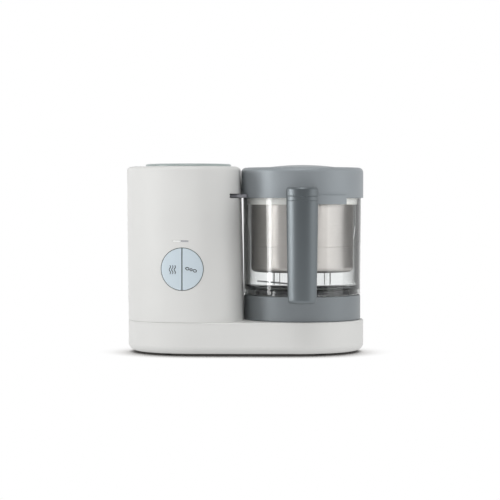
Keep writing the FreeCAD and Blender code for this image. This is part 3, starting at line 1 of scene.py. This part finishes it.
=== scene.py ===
# %% [markdown]
# # A baby food maker, dressed for its photograph
# The machine arrives as a finished mechanical model: every moulding, the glass bowl, the steel basket
# and the drive are already there, in metres, standing on the floor at Z = 0.
# Blender adds what drawings leave out: the finishes, the printed signs, the screws and the light.
# Nothing that arrives is moved. New pieces are put in place round it and ride on its moving bodies.

# %% Load the machine
import json
import math

import bmesh
import bpy
from mathutils import Matrix, Vector


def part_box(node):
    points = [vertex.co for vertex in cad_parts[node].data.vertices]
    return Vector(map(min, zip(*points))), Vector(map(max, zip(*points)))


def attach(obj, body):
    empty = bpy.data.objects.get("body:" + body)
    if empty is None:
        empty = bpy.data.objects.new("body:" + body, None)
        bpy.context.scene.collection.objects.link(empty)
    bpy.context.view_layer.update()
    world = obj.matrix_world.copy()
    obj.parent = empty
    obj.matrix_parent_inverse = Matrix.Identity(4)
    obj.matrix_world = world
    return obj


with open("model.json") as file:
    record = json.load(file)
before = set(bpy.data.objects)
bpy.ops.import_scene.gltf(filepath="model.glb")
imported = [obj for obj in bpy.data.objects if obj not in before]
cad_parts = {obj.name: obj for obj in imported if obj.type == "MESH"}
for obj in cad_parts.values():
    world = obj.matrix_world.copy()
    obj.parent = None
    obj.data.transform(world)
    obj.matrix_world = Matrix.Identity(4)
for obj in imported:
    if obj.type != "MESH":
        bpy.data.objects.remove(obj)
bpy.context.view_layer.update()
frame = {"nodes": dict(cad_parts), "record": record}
nodes = frame["nodes"]

# %% [markdown]
# ## Camera
# The photograph was taken from far away with a long lens: the base's front edge is almost a straight line
# and the tower hardly narrows. The eye is level with the foot of the lid, a little to the right.
# A camera 2.4 metres away with a lens of about 140 millimetres gives that flat perspective.

# %% Camera
EYE = Vector((0.0664, -2.3824, 0.189))
LOOKED_AT = Vector((0.0051, 0.0176, 0.124))
camera = bpy.data.objects.new("camera", bpy.data.cameras.new("camera"))
camera.data.lens = 140.8
camera.data.sensor_width = 36.0
camera.data.clip_end = 50.0
camera.location = EYE
camera.rotation_euler = (LOOKED_AT - EYE).to_track_quat("-Z", "Y").to_euler()
bpy.context.scene.collection.objects.link(camera)
bpy.context.scene.camera = camera
bpy.context.scene.view_settings.view_transform = "Standard"
print("camera distance", round((LOOKED_AT - EYE).length, 3), "m")

# %% [markdown]
# ## Finishes
# Every finish is a small tree of nodes on the machine's own coordinates, so a pattern has a true size in
# millimetres and stays on its piece when that moves. A cloud of noise is the starting point for most of
# them: it can shade the colour a little, make the gloss uneven and raise a fine grain.

# %% Helpers for finishes
def new_finish(name, colour, roughness, metallic=0.0):
    """A material with one main shader, whose even values are set on the shader itself."""
    material = bpy.data.materials.new(name)
    material.use_nodes = True
    shader = material.node_tree.nodes["Principled BSDF"]
    shader.inputs["Base Color"].default_value = (*colour, 1.0)
    shader.inputs["Roughness"].default_value = roughness
    shader.inputs["Metallic"].default_value = metallic
    return material, material.node_tree, shader


def cloud(tree, size, stretch=(1.0, 1.0, 1.0), detail=3.0):
    """Noise with grains of a size in metres; a stretch over 1 draws the grains out along that axis."""
    where = tree.nodes.new("ShaderNodeTexCoord")
    mapping = tree.nodes.new("ShaderNodeMapping")
    mapping.inputs["Scale"].default_value = [1.0 / amount for amount in stretch]
    noise = tree.nodes.new("ShaderNodeTexNoise")
    noise.inputs["Scale"].default_value = 1.0 / size
    noise.inputs["Detail"].default_value = detail
    tree.links.new(where.outputs["Object"], mapping.inputs["Vector"])
    tree.links.new(mapping.outputs["Vector"], noise.inputs["Vector"])
    return noise.outputs["Fac"]


def spread(tree, amount, low, high):
    """Spread noise, which mostly lies between 0.3 and 0.7, over a range."""
    node = tree.nodes.new("ShaderNodeMapRange")
    node.inputs["From Min"].default_value = 0.3
    node.inputs["From Max"].default_value = 0.7
    node.inputs["To Min"].default_value = low
    node.inputs["To Max"].default_value = high
    tree.links.new(amount, node.inputs["Value"])
    return node.outputs["Result"]


def shade(tree, shader, amount, dark, light):
    """Colour between two shades."""
    ramp = tree.nodes.new("ShaderNodeValToRGB")
    ramp.color_ramp.elements[0].position = 0.3
    ramp.color_ramp.elements[0].color = (*dark, 1.0)
    ramp.color_ramp.elements[1].position = 0.7
    ramp.color_ramp.elements[1].color = (*light, 1.0)
    tree.links.new(amount, ramp.inputs["Fac"])
    tree.links.new(ramp.outputs["Color"], shader.inputs["Base Color"])


def grain(tree, shader, amount, depth, edge=0.0):
    """Raise the surface by a depth in metres where the amount is high, and soften edges by a radius."""
    bump = tree.nodes.new("ShaderNodeBump")
    bump.inputs["Strength"].default_value = 1.0
    bump.inputs["Distance"].default_value = depth
    tree.links.new(amount, bump.inputs["Height"])
    tree.links.new(bump.outputs["Normal"], shader.inputs["Normal"])
    if edge:
        softened = tree.nodes.new("ShaderNodeBevel")
        softened.samples = 4
        softened.inputs["Radius"].default_value = edge
        tree.links.new(softened.outputs["Normal"], bump.inputs["Normal"])


def tone(colour, factor):
    """A colour made darker or lighter."""
    return tuple(min(channel * factor, 1.0) for channel in colour)


# %% [markdown]
# ### Moulded plastics
# Injection-moulded housings are never quite even. The tool is spark-eroded, which leaves a grain of a few
# tenths of a millimetre, and the polymer flows, which leaves soft clouds in the colour and in the gloss.
# One function makes them all; colour, gloss and grain tell the white shell from the grey lid.

# %% Plastics
TOOL_GRAIN = 0.0006


def moulded(name, colour, gloss, grain_depth, clouds=0.03, shine=0.5, index=1.5, tint=(1.0, 1.0, 1.0)):
    """A moulded plastic: clouds in its colour, uneven gloss, the tool's fine grain and soft edges."""
    material, tree, shader = new_finish(name, colour, gloss)
    flow = cloud(tree, 0.05)
    shade(tree, shader, flow, tone(colour, 1.0 - clouds), tone(colour, 1.0 + clouds))
    texture = cloud(tree, TOOL_GRAIN, detail=2.0)
    tree.links.new(spread(tree, texture, gloss - 0.04, gloss + 0.06), shader.inputs["Roughness"])
    grain(tree, shader, texture, grain_depth, edge=0.0005)
    shader.inputs["Specular IOR Level"].default_value = shine
    shader.inputs["IOR"].default_value = index
    shader.inputs["Specular Tint"].default_value = (*tint, 1.0)
    return material


COOL = (0.86, 0.95, 1.0)
finishes = {
    "white_shell": moulded("white_shell", (0.74, 0.74, 0.725), 0.48, 0.00003, clouds=0.012, shine=0.3),
    "white_inner": moulded("white_inner", (0.70, 0.70, 0.68), 0.55, 0.00004),
    "grey_lid": moulded("grey_lid", (0.285, 0.309, 0.328), 0.42, 0.00003, shine=1.0, tint=COOL),
    # The handle's grey is set far darker than the lid's, though both look like one plastic: the difference is
    # painted shade for the handle's dark front.
    "grey_handle": moulded("grey_handle", (0.049, 0.057, 0.062), 0.40, 0.00003, shine=1.0, index=1.8, tint=COOL),
    "grey_collar": moulded("grey_collar", (0.200, 0.217, 0.229), 0.42, 0.00003, shine=1.0, tint=COOL),
    "pale_button": moulded("pale_button", (0.62, 0.71, 0.77), 0.36, 0.00002, clouds=0.015),
    "tank_cap": moulded("tank_cap", (0.40, 0.46, 0.45), 0.30, 0.00002),
    "cream_rim": moulded("cream_rim", (0.92, 0.91, 0.88), 0.40, 0.00003, clouds=0.02),
    # Dark plastic prints the signs; where it lines the frame behind the buttons, it is painted shade for the gaps
    # round them.
    "dark_plastic": moulded("dark_plastic", (0.035, 0.036, 0.040), 0.45, 0.00004, clouds=0.1),
    "lever_grey": moulded("lever_grey", (0.30, 0.30, 0.33), 0.38, 0.00003),
}
print(len(finishes), "plastics")

# %% [markdown]
# ### Rubber and glass fibre board
# Rubber feet, seals and the belt are dull and dusty: high roughness and a coarser bloom in the colour.
# The circuit board is a woven sheet under green lacquer, so two crossed waves give it threads.

# %% Rubber and board
def rubber(name, colour):
    """A dull elastomer with a paler bloom on it."""
    material, tree, shader = new_finish(name, colour, 0.75)
    shade(tree, shader, cloud(tree, 0.004, detail=5.0), tone(colour, 0.75), tone(colour, 1.5))
    pores = cloud(tree, 0.0004)
    tree.links.new(spread(tree, pores, 0.68, 0.88), shader.inputs["Roughness"])
    grain(tree, shader, pores, 0.00004)
    return material


def woven_board(name):
    """A lacquered sheet of woven glass fibre."""
    material, tree, shader = new_finish(name, (0.03, 0.16, 0.07), 0.32)
    where = tree.nodes.new("ShaderNodeTexCoord")
    threads = []
    for direction in ("X", "Z"):
        wave = tree.nodes.new("ShaderNodeTexWave")
        wave.bands_direction = direction
        wave.inputs["Scale"].default_value = 400.0
        tree.links.new(where.outputs["Object"], wave.inputs["Vector"])
        threads.append(wave.outputs["Fac"])
    crossed = tree.nodes.new("ShaderNodeMath")
    crossed.operation = "MULTIPLY"
    tree.links.new(threads[0], crossed.inputs[0])
    tree.links.new(threads[1], crossed.inputs[1])
    shade(tree, shader, crossed.outputs["Value"], (0.02, 0.12, 0.05), (0.05, 0.21, 0.09))
    grain(tree, shader, crossed.outputs["Value"], 0.00002)
    shader.inputs["Coat Weight"].default_value = 0.4
    return material


finishes["foot_rubber"] = rubber("foot_rubber", (0.012, 0.011, 0.010))
finishes["seal_rubber"] = rubber("seal_rubber", (0.50, 0.50, 0.48))
finishes["belt_rubber"] = rubber("belt_rubber", (0.018, 0.018, 0.019))
finishes["board"] = woven_board("board")

# %% [markdown]
# ### Metals
# A drawn and brushed basket has long scratches round its side, so its noise is drawn out along X and Y and
# stays fine in Z. Castings are coarse and even, turned parts carry rings, and the blade is ground along
# its length. Scratches matter most in the gloss: they break a reflection into the soft bands of the photo.

# %% Metals
def metal(name, colour, gloss, size, stretch, depth, streaks=0.12):
    """A bare metal with a grain of its own direction."""
    material, tree, shader = new_finish(name, colour, gloss, metallic=1.0)
    lines = cloud(tree, size, stretch, detail=4.0)
    shade(tree, shader, lines, tone(colour, 1.0 - streaks), tone(colour, 1.0 + streaks * 0.6))
    tree.links.new(spread(tree, lines, gloss - 0.06, gloss + 0.10), shader.inputs["Roughness"])
    grain(tree, shader, lines, depth)
    return material


finishes["steel"] = metal("steel", (0.69, 0.65, 0.625), 0.43, 0.00022, (60.0, 60.0, 1.0), 0.000006)
finishes["polished_steel"] = metal("polished_steel", (0.64, 0.64, 0.64), 0.20, 0.0003, (1.0, 1.0, 30.0), 0.000004)
finishes["blade_steel"] = metal("blade_steel", (0.30, 0.30, 0.31), 0.24, 0.0002, (40.0, 1.0, 1.0), 0.000005)
finishes["zinc_steel"] = metal("zinc_steel", (0.55, 0.56, 0.57), 0.42, 0.003, (1.0, 1.0, 1.0), 0.00002)
finishes["cast_aluminium"] = metal("cast_aluminium", (0.60, 0.60, 0.61), 0.50, 0.0008, (1.0, 1.0, 1.0), 0.00005)
finishes["bronze"] = metal("bronze", (0.52, 0.34, 0.15), 0.36, 0.0005, (1.0, 1.0, 12.0), 0.00001)

# %% [markdown]
# ### Glass and lights
# The bowl is thick pressed glass. It is a solid with a real wall, so one refracting shader is enough:
# the dark lines along its edges come from light that bends away. Pressing leaves very faint waves.
# The two indicator lights are light pipes; the left one glows a little and the right one is off.

# %% Glass and lights
GLASS_DENSITY = 16.0


def pressed_glass(name):
    """Clear glass with faint waves, which takes up a little light on its way through."""
    material, tree, shader = new_finish(name, (0.985, 0.992, 0.990), 0.02)
    shader.inputs["Transmission Weight"].default_value = 1.0
    shader.inputs["IOR"].default_value = 1.50
    body = tree.nodes.new("ShaderNodeVolumeAbsorption")
    body.inputs["Color"].default_value = (0.28, 0.34, 0.33, 1.0)
    body.inputs["Density"].default_value = GLASS_DENSITY
    tree.links.new(body.outputs["Volume"], tree.nodes["Material Output"].inputs["Volume"])
    waves = cloud(tree, 0.03, detail=1.0)
    tree.links.new(spread(tree, waves, 0.0, 0.03), shader.inputs["Roughness"])
    grain(tree, shader, waves, 0.00005)
    return material


def light_pipe(name, colour, glow):
    """A milky light pipe."""
    material, tree, shader = new_finish(name, colour, 0.30)
    milk = cloud(tree, 0.002)
    shade(tree, shader, milk, tone(colour, 0.9), tone(colour, 1.08))
    shader.inputs["Emission Color"].default_value = (*colour, 1.0)
    shader.inputs["Emission Strength"].default_value = glow
    grain(tree, shader, milk, 0.00001)
    return material


finishes["clear_glass"] = pressed_glass("clear_glass")
finishes["light_on"] = light_pipe("light_on", (0.90, 0.91, 0.90), 0.14)
finishes["light_off"] = light_pipe("light_off", (0.48, 0.48, 0.51), 0.0)

# %% [markdown]
# ### Putting the finishes on
# The machine's list of parts says which finish each piece has, so one loop dresses all of them.

# %% Dress every piece
finish_of = {part["node"]: part["material_slot"] for part in frame["record"]["subparts"]}
for name, piece in nodes.items():
    piece.data.materials.clear()
    piece.data.materials.append(finishes[finish_of[name]])
print(len(finish_of), "pieces dressed in", len(set(finish_of.values())), "finishes")

# %% [markdown]
# ## Small pieces
# Signs, screws and thin beads are too small for the mechanical model, so they are made here.
# Each is a mesh of its own at the machine's origin, and rides on the body that carries it.

# %% Finishing a new piece
def add_piece(bm, name, slot, body):
    """Close a mesh, make it a piece with one of the finishes and let it ride on a body."""
    bmesh.ops.remove_doubles(bm, verts=bm.verts, dist=0.000002)
    bmesh.ops.recalc_face_normals(bm, faces=bm.faces)
    mesh = bpy.data.meshes.new(name)
    bm.to_mesh(mesh)
    bm.free()
    mesh.materials.append(finishes[slot])
    piece = bpy.data.objects.new(name, mesh)
    bpy.context.scene.collection.objects.link(piece)
    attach(piece, body)
    print(name, len(mesh.polygons), "faces")
    return piece


# %% [markdown]
# ### Signs on the buttons
# Each half of the round button carries a sign: steam on the left, a blade on the right. A printed sign is a
# line of even width, so a small flat rectangle is drawn along arcs with spin, one arc after another, as a
# pen is. The steam is three wavy lines and the blade is a ring with two leaves. A ray that is sent at the
# button from the front finds the point and the slope of the curved face, and the sign is set down there.

# %% A pen that draws along arcs
LINE_WIDTH = 0.00085
LINE_PROUD = 0.00012
LINE_SUNK = 0.0003


def draw_line(bm, pen, bends):
    """Draw a flat line from the pen's place along bends, each a radius and an angle (right turns over 0)."""
    half = LINE_WIDTH / 2.0
    section = ((-half, -LINE_PROUD), (half, -LINE_PROUD), (half, LINE_SUNK), (-half, LINE_SUNK))
    corners = [bm.verts.new(pen @ Vector((x, y, 0.0))) for x, y in section]
    drawn = corners + [bm.edges.new((corners[i - 1], corners[i])) for i in range(4)]
    for radius, angle in bends:
        middle = pen @ Vector((math.copysign(radius, angle), 0.0, 0.0))
        steps = max(4, round(abs(angle) / math.radians(10.0)))
        arc = bmesh.ops.spin(bm, geom=drawn, cent=middle, axis=(0.0, 1.0, 0.0), angle=angle, steps=steps)
        drawn = arc["geom_last"]
        turn = Matrix.Rotation(angle, 4, "Y")
        pen = Matrix.Translation(middle) @ turn @ Matrix.Translation(-middle) @ pen


def set_on_button(bm, name, slot, x, z):
    """Close the lines' ends and set a sign, drawn round the origin, on the face of its button."""
    bmesh.ops.remove_doubles(bm, verts=bm.verts, dist=0.000002)
    bmesh.ops.holes_fill(bm, edges=[edge for edge in bm.edges if edge.is_boundary], sides=4)
    button = nodes[name]
    found, place, normal, face = button.ray_cast(Vector((x, -1.0, z)), Vector((0.0, 1.0, 0.0)))
    heading = math.asin(normal.x / math.hypot(normal.x, normal.y))
    seat = Matrix.Translation(place) @ Matrix.Rotation(heading, 4, "Z")
    bmesh.ops.transform(bm, matrix=seat, verts=bm.verts)
    return add_piece(bm, name.replace("button", "sign"), slot, name)


bpy.context.view_layer.update()

# %% Steam sign
WAVE_RADIUS = 0.0021
WAVE_LEAN = math.radians(52.0)
WAVE_PITCH = 0.0031
wave_rise = 2.0 * WAVE_RADIUS * math.sin(WAVE_LEAN)
bm = bmesh.new()
for column in (-1, 0, 1):
    foot = Matrix.Translation((column * WAVE_PITCH, 0.0, -1.5 * wave_rise))
    bends = [(WAVE_RADIUS, side * 2.0 * WAVE_LEAN) for side in (-1, 1, -1)]
    draw_line(bm, foot @ Matrix.Rotation(WAVE_LEAN, 4, "Y"), bends)
steam_sign = set_on_button(bm, "steam_button", "dark_plastic", -0.0853, 0.1027)

# %% Blade sign
HUB_RADIUS = 0.0013
LEAF_RADIUS = 0.0024
LEAF_TIP = 0.0006
LEAF_BEND = math.radians(60.0)
BLADE_TILT = math.radians(106.0)
bm = bmesh.new()
draw_line(bm, Matrix.Translation((-HUB_RADIUS, 0.0, 0.0)), [(HUB_RADIUS, math.pi)] * 2)
leaf = [(LEAF_RADIUS, 2.0 * LEAF_BEND), (LEAF_TIP, math.pi - 2.0 * LEAF_BEND)]
for half_turn in (0.0, math.pi):
    out = Matrix.Translation((-LEAF_TIP * math.cos(LEAF_BEND), 0.0, HUB_RADIUS + 2.0 * LEAF_TIP))
    pen = Matrix.Rotation(BLADE_TILT + half_turn, 4, "Y") @ out @ Matrix.Rotation(-LEAF_BEND, 4, "Y")
    draw_line(bm, pen, leaf * 2)
blend_sign = set_on_button(bm, "blend_button", "dark_plastic", -0.0628, 0.1027)

# %% [markdown]
# ### Beads on the basket and the lid
# A drawn steel cup gets a rolled bead, a thin raised ring that keeps its wall round. It shows in the photo as
# a fine level line about half way up. The lid's tab has a rounded upper edge, which shows as a thin bright
# line beside the handle. Both are a small circle that stands upright and is spun round the bowl's axis: once
# round for the basket, and over the tab's own angle for the lid.

# %% A bead round the bowl's axis
cup_low, cup_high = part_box("steam_basket")
bowl_axis = Vector(((cup_low.x + cup_high.x) / 2.0, (cup_low.y + cup_high.y) / 2.0, 0.0))


def bead(thickness, reach, level, start=0.0, sweep=math.tau):
    """A round wire at a reach from the bowl's axis, from a start angle over a sweep."""
    bm = bmesh.new()
    circle = bmesh.ops.create_circle(bm, segments=12, radius=thickness)["verts"]
    place = bowl_axis + Vector((reach, 0.0, level))
    upright = Matrix.Translation(place) @ Matrix.Rotation(math.pi / 2.0, 4, "X")
    bmesh.ops.transform(bm, matrix=upright, verts=circle)
    bmesh.ops.rotate(bm, cent=bowl_axis, matrix=Matrix.Rotation(start, 3, "Z"), verts=circle)
    whole = sweep == math.tau
    bmesh.ops.spin(bm, geom=list(bm.verts) + list(bm.edges), cent=bowl_axis, axis=(0.0, 0.0, 1.0),
                   angle=sweep, steps=round(math.degrees(sweep) / 2.5), use_merge=whole)
    bmesh.ops.holes_fill(bm, edges=[edge for edge in bm.edges if edge.is_boundary], sides=12)
    return bm


def reach_of(name, angle, level):
    """How far a piece reaches from the bowl's axis in one direction at one level."""
    outward = Vector((math.cos(angle), math.sin(angle), 0.0))
    start = bowl_axis + outward + Vector((0.0, 0.0, level))
    found, place, normal, face = nodes[name].ray_cast(start, -outward)
    return (place - bowl_axis).xy.length


# %% Basket bead
BASKET_BEAD = 0.0006
BASKET_BEAD_LEVEL = 0.1290
cup_reach = reach_of("steam_basket", 0.0, BASKET_BEAD_LEVEL)
basket_bead = add_piece(bead(BASKET_BEAD, cup_reach - BASKET_BEAD * 0.4, BASKET_BEAD_LEVEL),
                        "basket_bead", "steel", "basket")

# %% Rounded edge of the lid's tab
TAB_BEAD = 0.0006
TAB_LEVEL = 0.1910
TAB_START = math.radians(265.5)
TAB_SWEEP = math.radians(47.5)
tab_reach = reach_of("bowl_lid", TAB_START + TAB_SWEEP / 2.0, TAB_LEVEL)
tab_edge = add_piece(bead(TAB_BEAD, tab_reach - TAB_BEAD * 0.6, TAB_LEVEL, TAB_START, TAB_SWEEP),
                     "tab_edge", "grey_lid", "lid")
print("tab reaches", round(tab_reach, 4), "m from the axis")

# %% [markdown]
# ### Screws under the base
# The bottom cover is held by six pan head screws with cross recesses. One is made from a disc: an inset gives
# the flat in its middle, four cuts divide that flat, and the faces in the arms of the cross are pushed in.
# The rim is pulled up to the cover and rounded. Copies go to the other places.

# %% Cover screws
HEAD_RADIUS = 0.0029
FLAT_RADIUS = 0.0019
ARM_HALF_WIDTH = 0.00035
HEAD_LEVEL = 0.0006
RECESS_DEPTH = 0.0008
SCREW_PLACES = [(-0.040, -0.040), (-0.040, 0.040), (0.040, -0.040), (0.040, 0.040), (-0.118, 0.0), (0.118, 0.0)]
cover_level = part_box("bottom_cover")[0].z
bm = bmesh.new()
bmesh.ops.create_circle(bm, cap_ends=True, segments=32, radius=HEAD_RADIUS)
rim = list(bm.edges)
flat = list(bm.faces)
bmesh.ops.inset_region(bm, faces=flat, thickness=HEAD_RADIUS - FLAT_RADIUS)
for normal in ((1, 0, 0), (-1, 0, 0), (0, 1, 0), (0, -1, 0)):
    pieces = [face for face in bm.faces if max(v.co.xy.length for v in face.verts) < FLAT_RADIUS * 1.05]
    cut = pieces + list({edge for face in pieces for edge in face.edges})
    bmesh.ops.bisect_plane(bm, geom=cut, plane_co=Vector(normal) * ARM_HALF_WIDTH, plane_no=normal)
arms = []
for face in bm.faces:
    middle = face.calc_center_median()
    if min(abs(middle.x), abs(middle.y)) < ARM_HALF_WIDTH and middle.xy.length < FLAT_RADIUS * 0.9:
        arms.append(face)
recess = bmesh.ops.extrude_face_region(bm, geom=arms)["geom"]
bmesh.ops.delete(bm, geom=arms, context="FACES")
floor_corners = [item for item in recess if isinstance(item, bmesh.types.BMVert)]
bmesh.ops.translate(bm, verts=floor_corners, vec=(0.0, 0.0, RECESS_DEPTH))
side = bmesh.ops.extrude_edge_only(bm, edges=[edge for edge in rim if edge.is_valid])["geom"]
top = [item for item in side if isinstance(item, bmesh.types.BMVert)]
bmesh.ops.translate(bm, verts=top, vec=(0.0, 0.0, cover_level - HEAD_LEVEL + 0.0004))
bmesh.ops.holes_fill(bm, edges=[edge for edge in bm.edges if edge.is_boundary], sides=32)
bmesh.ops.bevel(bm, geom=[edge for edge in rim if edge.is_valid], affect="EDGES", offset=0.0005, segments=3,
                profile=0.5, material=-1)
bmesh.ops.translate(bm, verts=bm.verts, vec=(0.0, 0.0, HEAD_LEVEL))
first_screw = list(bm.verts) + list(bm.edges) + list(bm.faces)
for x, y in SCREW_PLACES[1:]:
    copy = bmesh.ops.duplicate(bm, geom=first_screw)["geom"]
    corners = [item for item in copy if isinstance(item, bmesh.types.BMVert)]
    bmesh.ops.translate(bm, verts=corners, vec=(x, y, 0.0))
corners = [item for item in first_screw if isinstance(item, bmesh.types.BMVert)]
bmesh.ops.translate(bm, verts=corners, vec=(*SCREW_PLACES[0], 0.0))
cover_screws = add_piece(bm, "cover_screws", "zinc_steel", "machine")

# %% [markdown]
# ## Studio
# The photograph has a white sweep with a thin dark shadow under the base, and soft light from both sides:
# the lid, the handle and the steel basket each show one bright band on the left and a weaker one on the
# right, while their fronts stay darker. A tall soft box stands on each side of the machine for those bands.
# A third box, in front on the right, lights the fronts and is kept out of reflections, where it would add a
# band that isn't in the photograph. A fourth hangs overhead for the tops.
#
# The floor's shadow is occlusion: the floor is dark where the machine is close over it. Occlusion is looked
# for towards the back, because the lamps' light leaves the shadow in front of the base.
#
# Dark boards beside the backdrop are what gives clear glass its black outlines. Here they are dark bands in
# the world that only gloss and glass can see; the camera itself always sees plain white. Little lamp light
# gets through refracting glass, so matte pieces in the bowl get a stronger room light through it.

# %% Floor
def ray_kind(tree, kinds):
    """1 for rays of the named kinds, else 0."""
    path = tree.nodes.new("ShaderNodeLightPath")
    seen = path.outputs[kinds[0]]
    for kind in kinds[1:]:
        larger = tree.nodes.new("ShaderNodeMath")
        larger.operation = "MAXIMUM"
        tree.links.new(seen, larger.inputs[0])
        tree.links.new(path.outputs[kind], larger.inputs[1])
        seen = larger.outputs["Value"]
    return seen


FLOOR_BOUNCE = 0.7


def studio_floor():
    """A white floor that is dark only where the machine stands close over it."""
    bm = bmesh.new()
    bmesh.ops.create_circle(bm, cap_ends=True, segments=96, radius=1.0)
    mesh = bpy.data.meshes.new("floor")
    bm.to_mesh(mesh)
    bm.free()
    floor = bpy.data.objects.new("floor", mesh)
    bpy.context.scene.collection.objects.link(floor)
    material = bpy.data.materials.new("white_sweep")
    material.use_nodes = True
    tree = material.node_tree
    near = tree.nodes.new("ShaderNodeAmbientOcclusion")
    near.samples = 8
    near.inputs["Distance"].default_value = 0.040
    toward = tree.nodes.new("ShaderNodeCombineXYZ")
    toward.inputs["Y"].default_value = 0.75
    toward.inputs["Z"].default_value = 0.66
    tree.links.new(toward.outputs["Vector"], near.inputs["Normal"])
    shadow = tree.nodes.new("ShaderNodeValToRGB")
    shadow.color_ramp.elements[0].position = 0.35
    shadow.color_ramp.elements[0].color = (0.04, 0.037, 0.035, 1.0)
    shadow.color_ramp.elements[1].position = 0.92
    shadow.color_ramp.elements[1].color = (1.0, 1.0, 1.0, 1.0)
    shadow.color_ramp.elements.new(0.62).color = (0.70, 0.69, 0.68, 1.0)
    tree.links.new(near.outputs["AO"], shadow.inputs["Fac"])
    white = tree.nodes.new("ShaderNodeEmission")
    tree.links.new(shadow.outputs["Color"], white.inputs["Color"])
    bounce = tree.nodes.new("ShaderNodeEmission")
    bounce.inputs["Strength"].default_value = FLOOR_BOUNCE
    mix = tree.nodes.new("ShaderNodeMixShader")
    seen = ray_kind(tree, ("Is Camera Ray", "Is Glossy Ray", "Is Transmission Ray"))
    tree.links.new(seen, mix.inputs["Fac"])
    tree.links.new(bounce.outputs["Emission"], mix.inputs[1])
    tree.links.new(white.outputs["Emission"], mix.inputs[2])
    tree.links.new(mix.outputs["Shader"], tree.nodes["Material Output"].inputs["Surface"])
    mesh.materials.append(material)


studio_floor()

# %% Lamps
def lamp(name, place, width, height, power, glare=True):
    """A soft box that faces the machine and stays out of the picture, and without glare out of reflections."""
    data = bpy.data.lights.new(name, "AREA")
    data.shape = "RECTANGLE"
    data.size = width
    data.size_y = height
    data.energy = power
    box = bpy.data.objects.new(name, data)
    box.location = place
    box.rotation_euler = (Vector((0.0, 0.0, 0.12)) - Vector(place)).to_track_quat("-Z", "Y").to_euler()
    box.visible_camera = False
    box.visible_glossy = glare
    bpy.context.scene.collection.objects.link(box)


lamp("left_soft_box", (-1.82, -0.60, 0.40), 0.6, 1.3, 19.0)
lamp("right_soft_box", (1.80, -0.66, 0.45), 1.3, 1.5, 7.0)
lamp("front_soft_box", (2.0, -1.95, 0.9), 1.4, 1.2, 17.0, glare=False)
lamp("top_soft_box", (0.0, -1.1, 2.3), 1.2, 1.0, 15.0)

# %% Room
ROOM_LIGHT = 0.35
THROUGH_GLASS = 1.9
IN_GLOSS = ((-1.0, 0.12), (-0.5, 0.20), (0.0, 0.50), (0.5, 0.80), (1.0, 1.0))
IN_GLASS = ((-1.0, 0.35), (-0.5, 0.45), (0.1, 0.55), (0.28, 0.06), (0.955, 0.06), (0.995, 1.0))

world = bpy.data.worlds.new("studio")
world.use_nodes = True
bpy.context.scene.world = world
tree = world.node_tree
room = tree.nodes["Background"]
room.inputs["Color"].default_value = (1.0, 1.0, 1.0, 1.0)
room.inputs["Strength"].default_value = ROOM_LIGHT

heading = tree.nodes.new("ShaderNodeTexCoord")
parts = tree.nodes.new("ShaderNodeSeparateXYZ")
tree.links.new(heading.outputs["Generated"], parts.inputs["Vector"])
depth = tree.nodes.new("ShaderNodeMapRange")
depth.inputs["From Min"].default_value = -1.0
depth.inputs["From Max"].default_value = 1.0
tree.links.new(parts.outputs["Y"], depth.inputs["Value"])


def boards(levels):
    """Bands of light and dark, from the camera's side of the room (-1) to the backdrop (1)."""
    ramp = tree.nodes.new("ShaderNodeValToRGB")
    stops = ramp.color_ramp.elements
    stops[0].position, stops[0].color = 0.0, (levels[0][1], levels[0][1], levels[0][1], 1.0)
    stops[1].position, stops[1].color = 1.0, (levels[-1][1], levels[-1][1], levels[-1][1], 1.0)
    for toward, level in levels[1:]:
        stops.new((toward + 1.0) / 2.0).color = (level, level, level, 1.0)
    tree.links.new(depth.outputs["Result"], ramp.inputs["Fac"])
    shown = tree.nodes.new("ShaderNodeBackground")
    tree.links.new(ramp.outputs["Color"], shown.inputs["Color"])
    return shown.outputs["Background"]


def instead(shader, other, kind):
    """The other shader for rays of one kind."""
    mix = tree.nodes.new("ShaderNodeMixShader")
    tree.links.new(ray_kind(tree, (kind,)), mix.inputs["Fac"])
    tree.links.new(shader, mix.inputs[1])
    tree.links.new(other, mix.inputs[2])
    return mix.outputs["Shader"]


def plain(strength):
    """Even white light."""
    shown = tree.nodes.new("ShaderNodeBackground")
    shown.inputs["Color"].default_value = (1.0, 1.0, 1.0, 1.0)
    shown.inputs["Strength"].default_value = strength
    return shown.outputs["Background"]


through = instead(boards(IN_GLASS), plain(THROUGH_GLASS), "Diffuse Depth")
lit = instead(room.outputs["Background"], boards(IN_GLOSS), "Is Glossy Ray")
lit = instead(lit, room.outputs["Background"], "Diffuse Depth")
lit = instead(lit, through, "Is Transmission Ray")
lit = instead(lit, plain(1.0), "Is Camera Ray")
tree.links.new(lit, tree.nodes["World Output"].inputs["Surface"])
print("studio set, room light", ROOM_LIGHT)
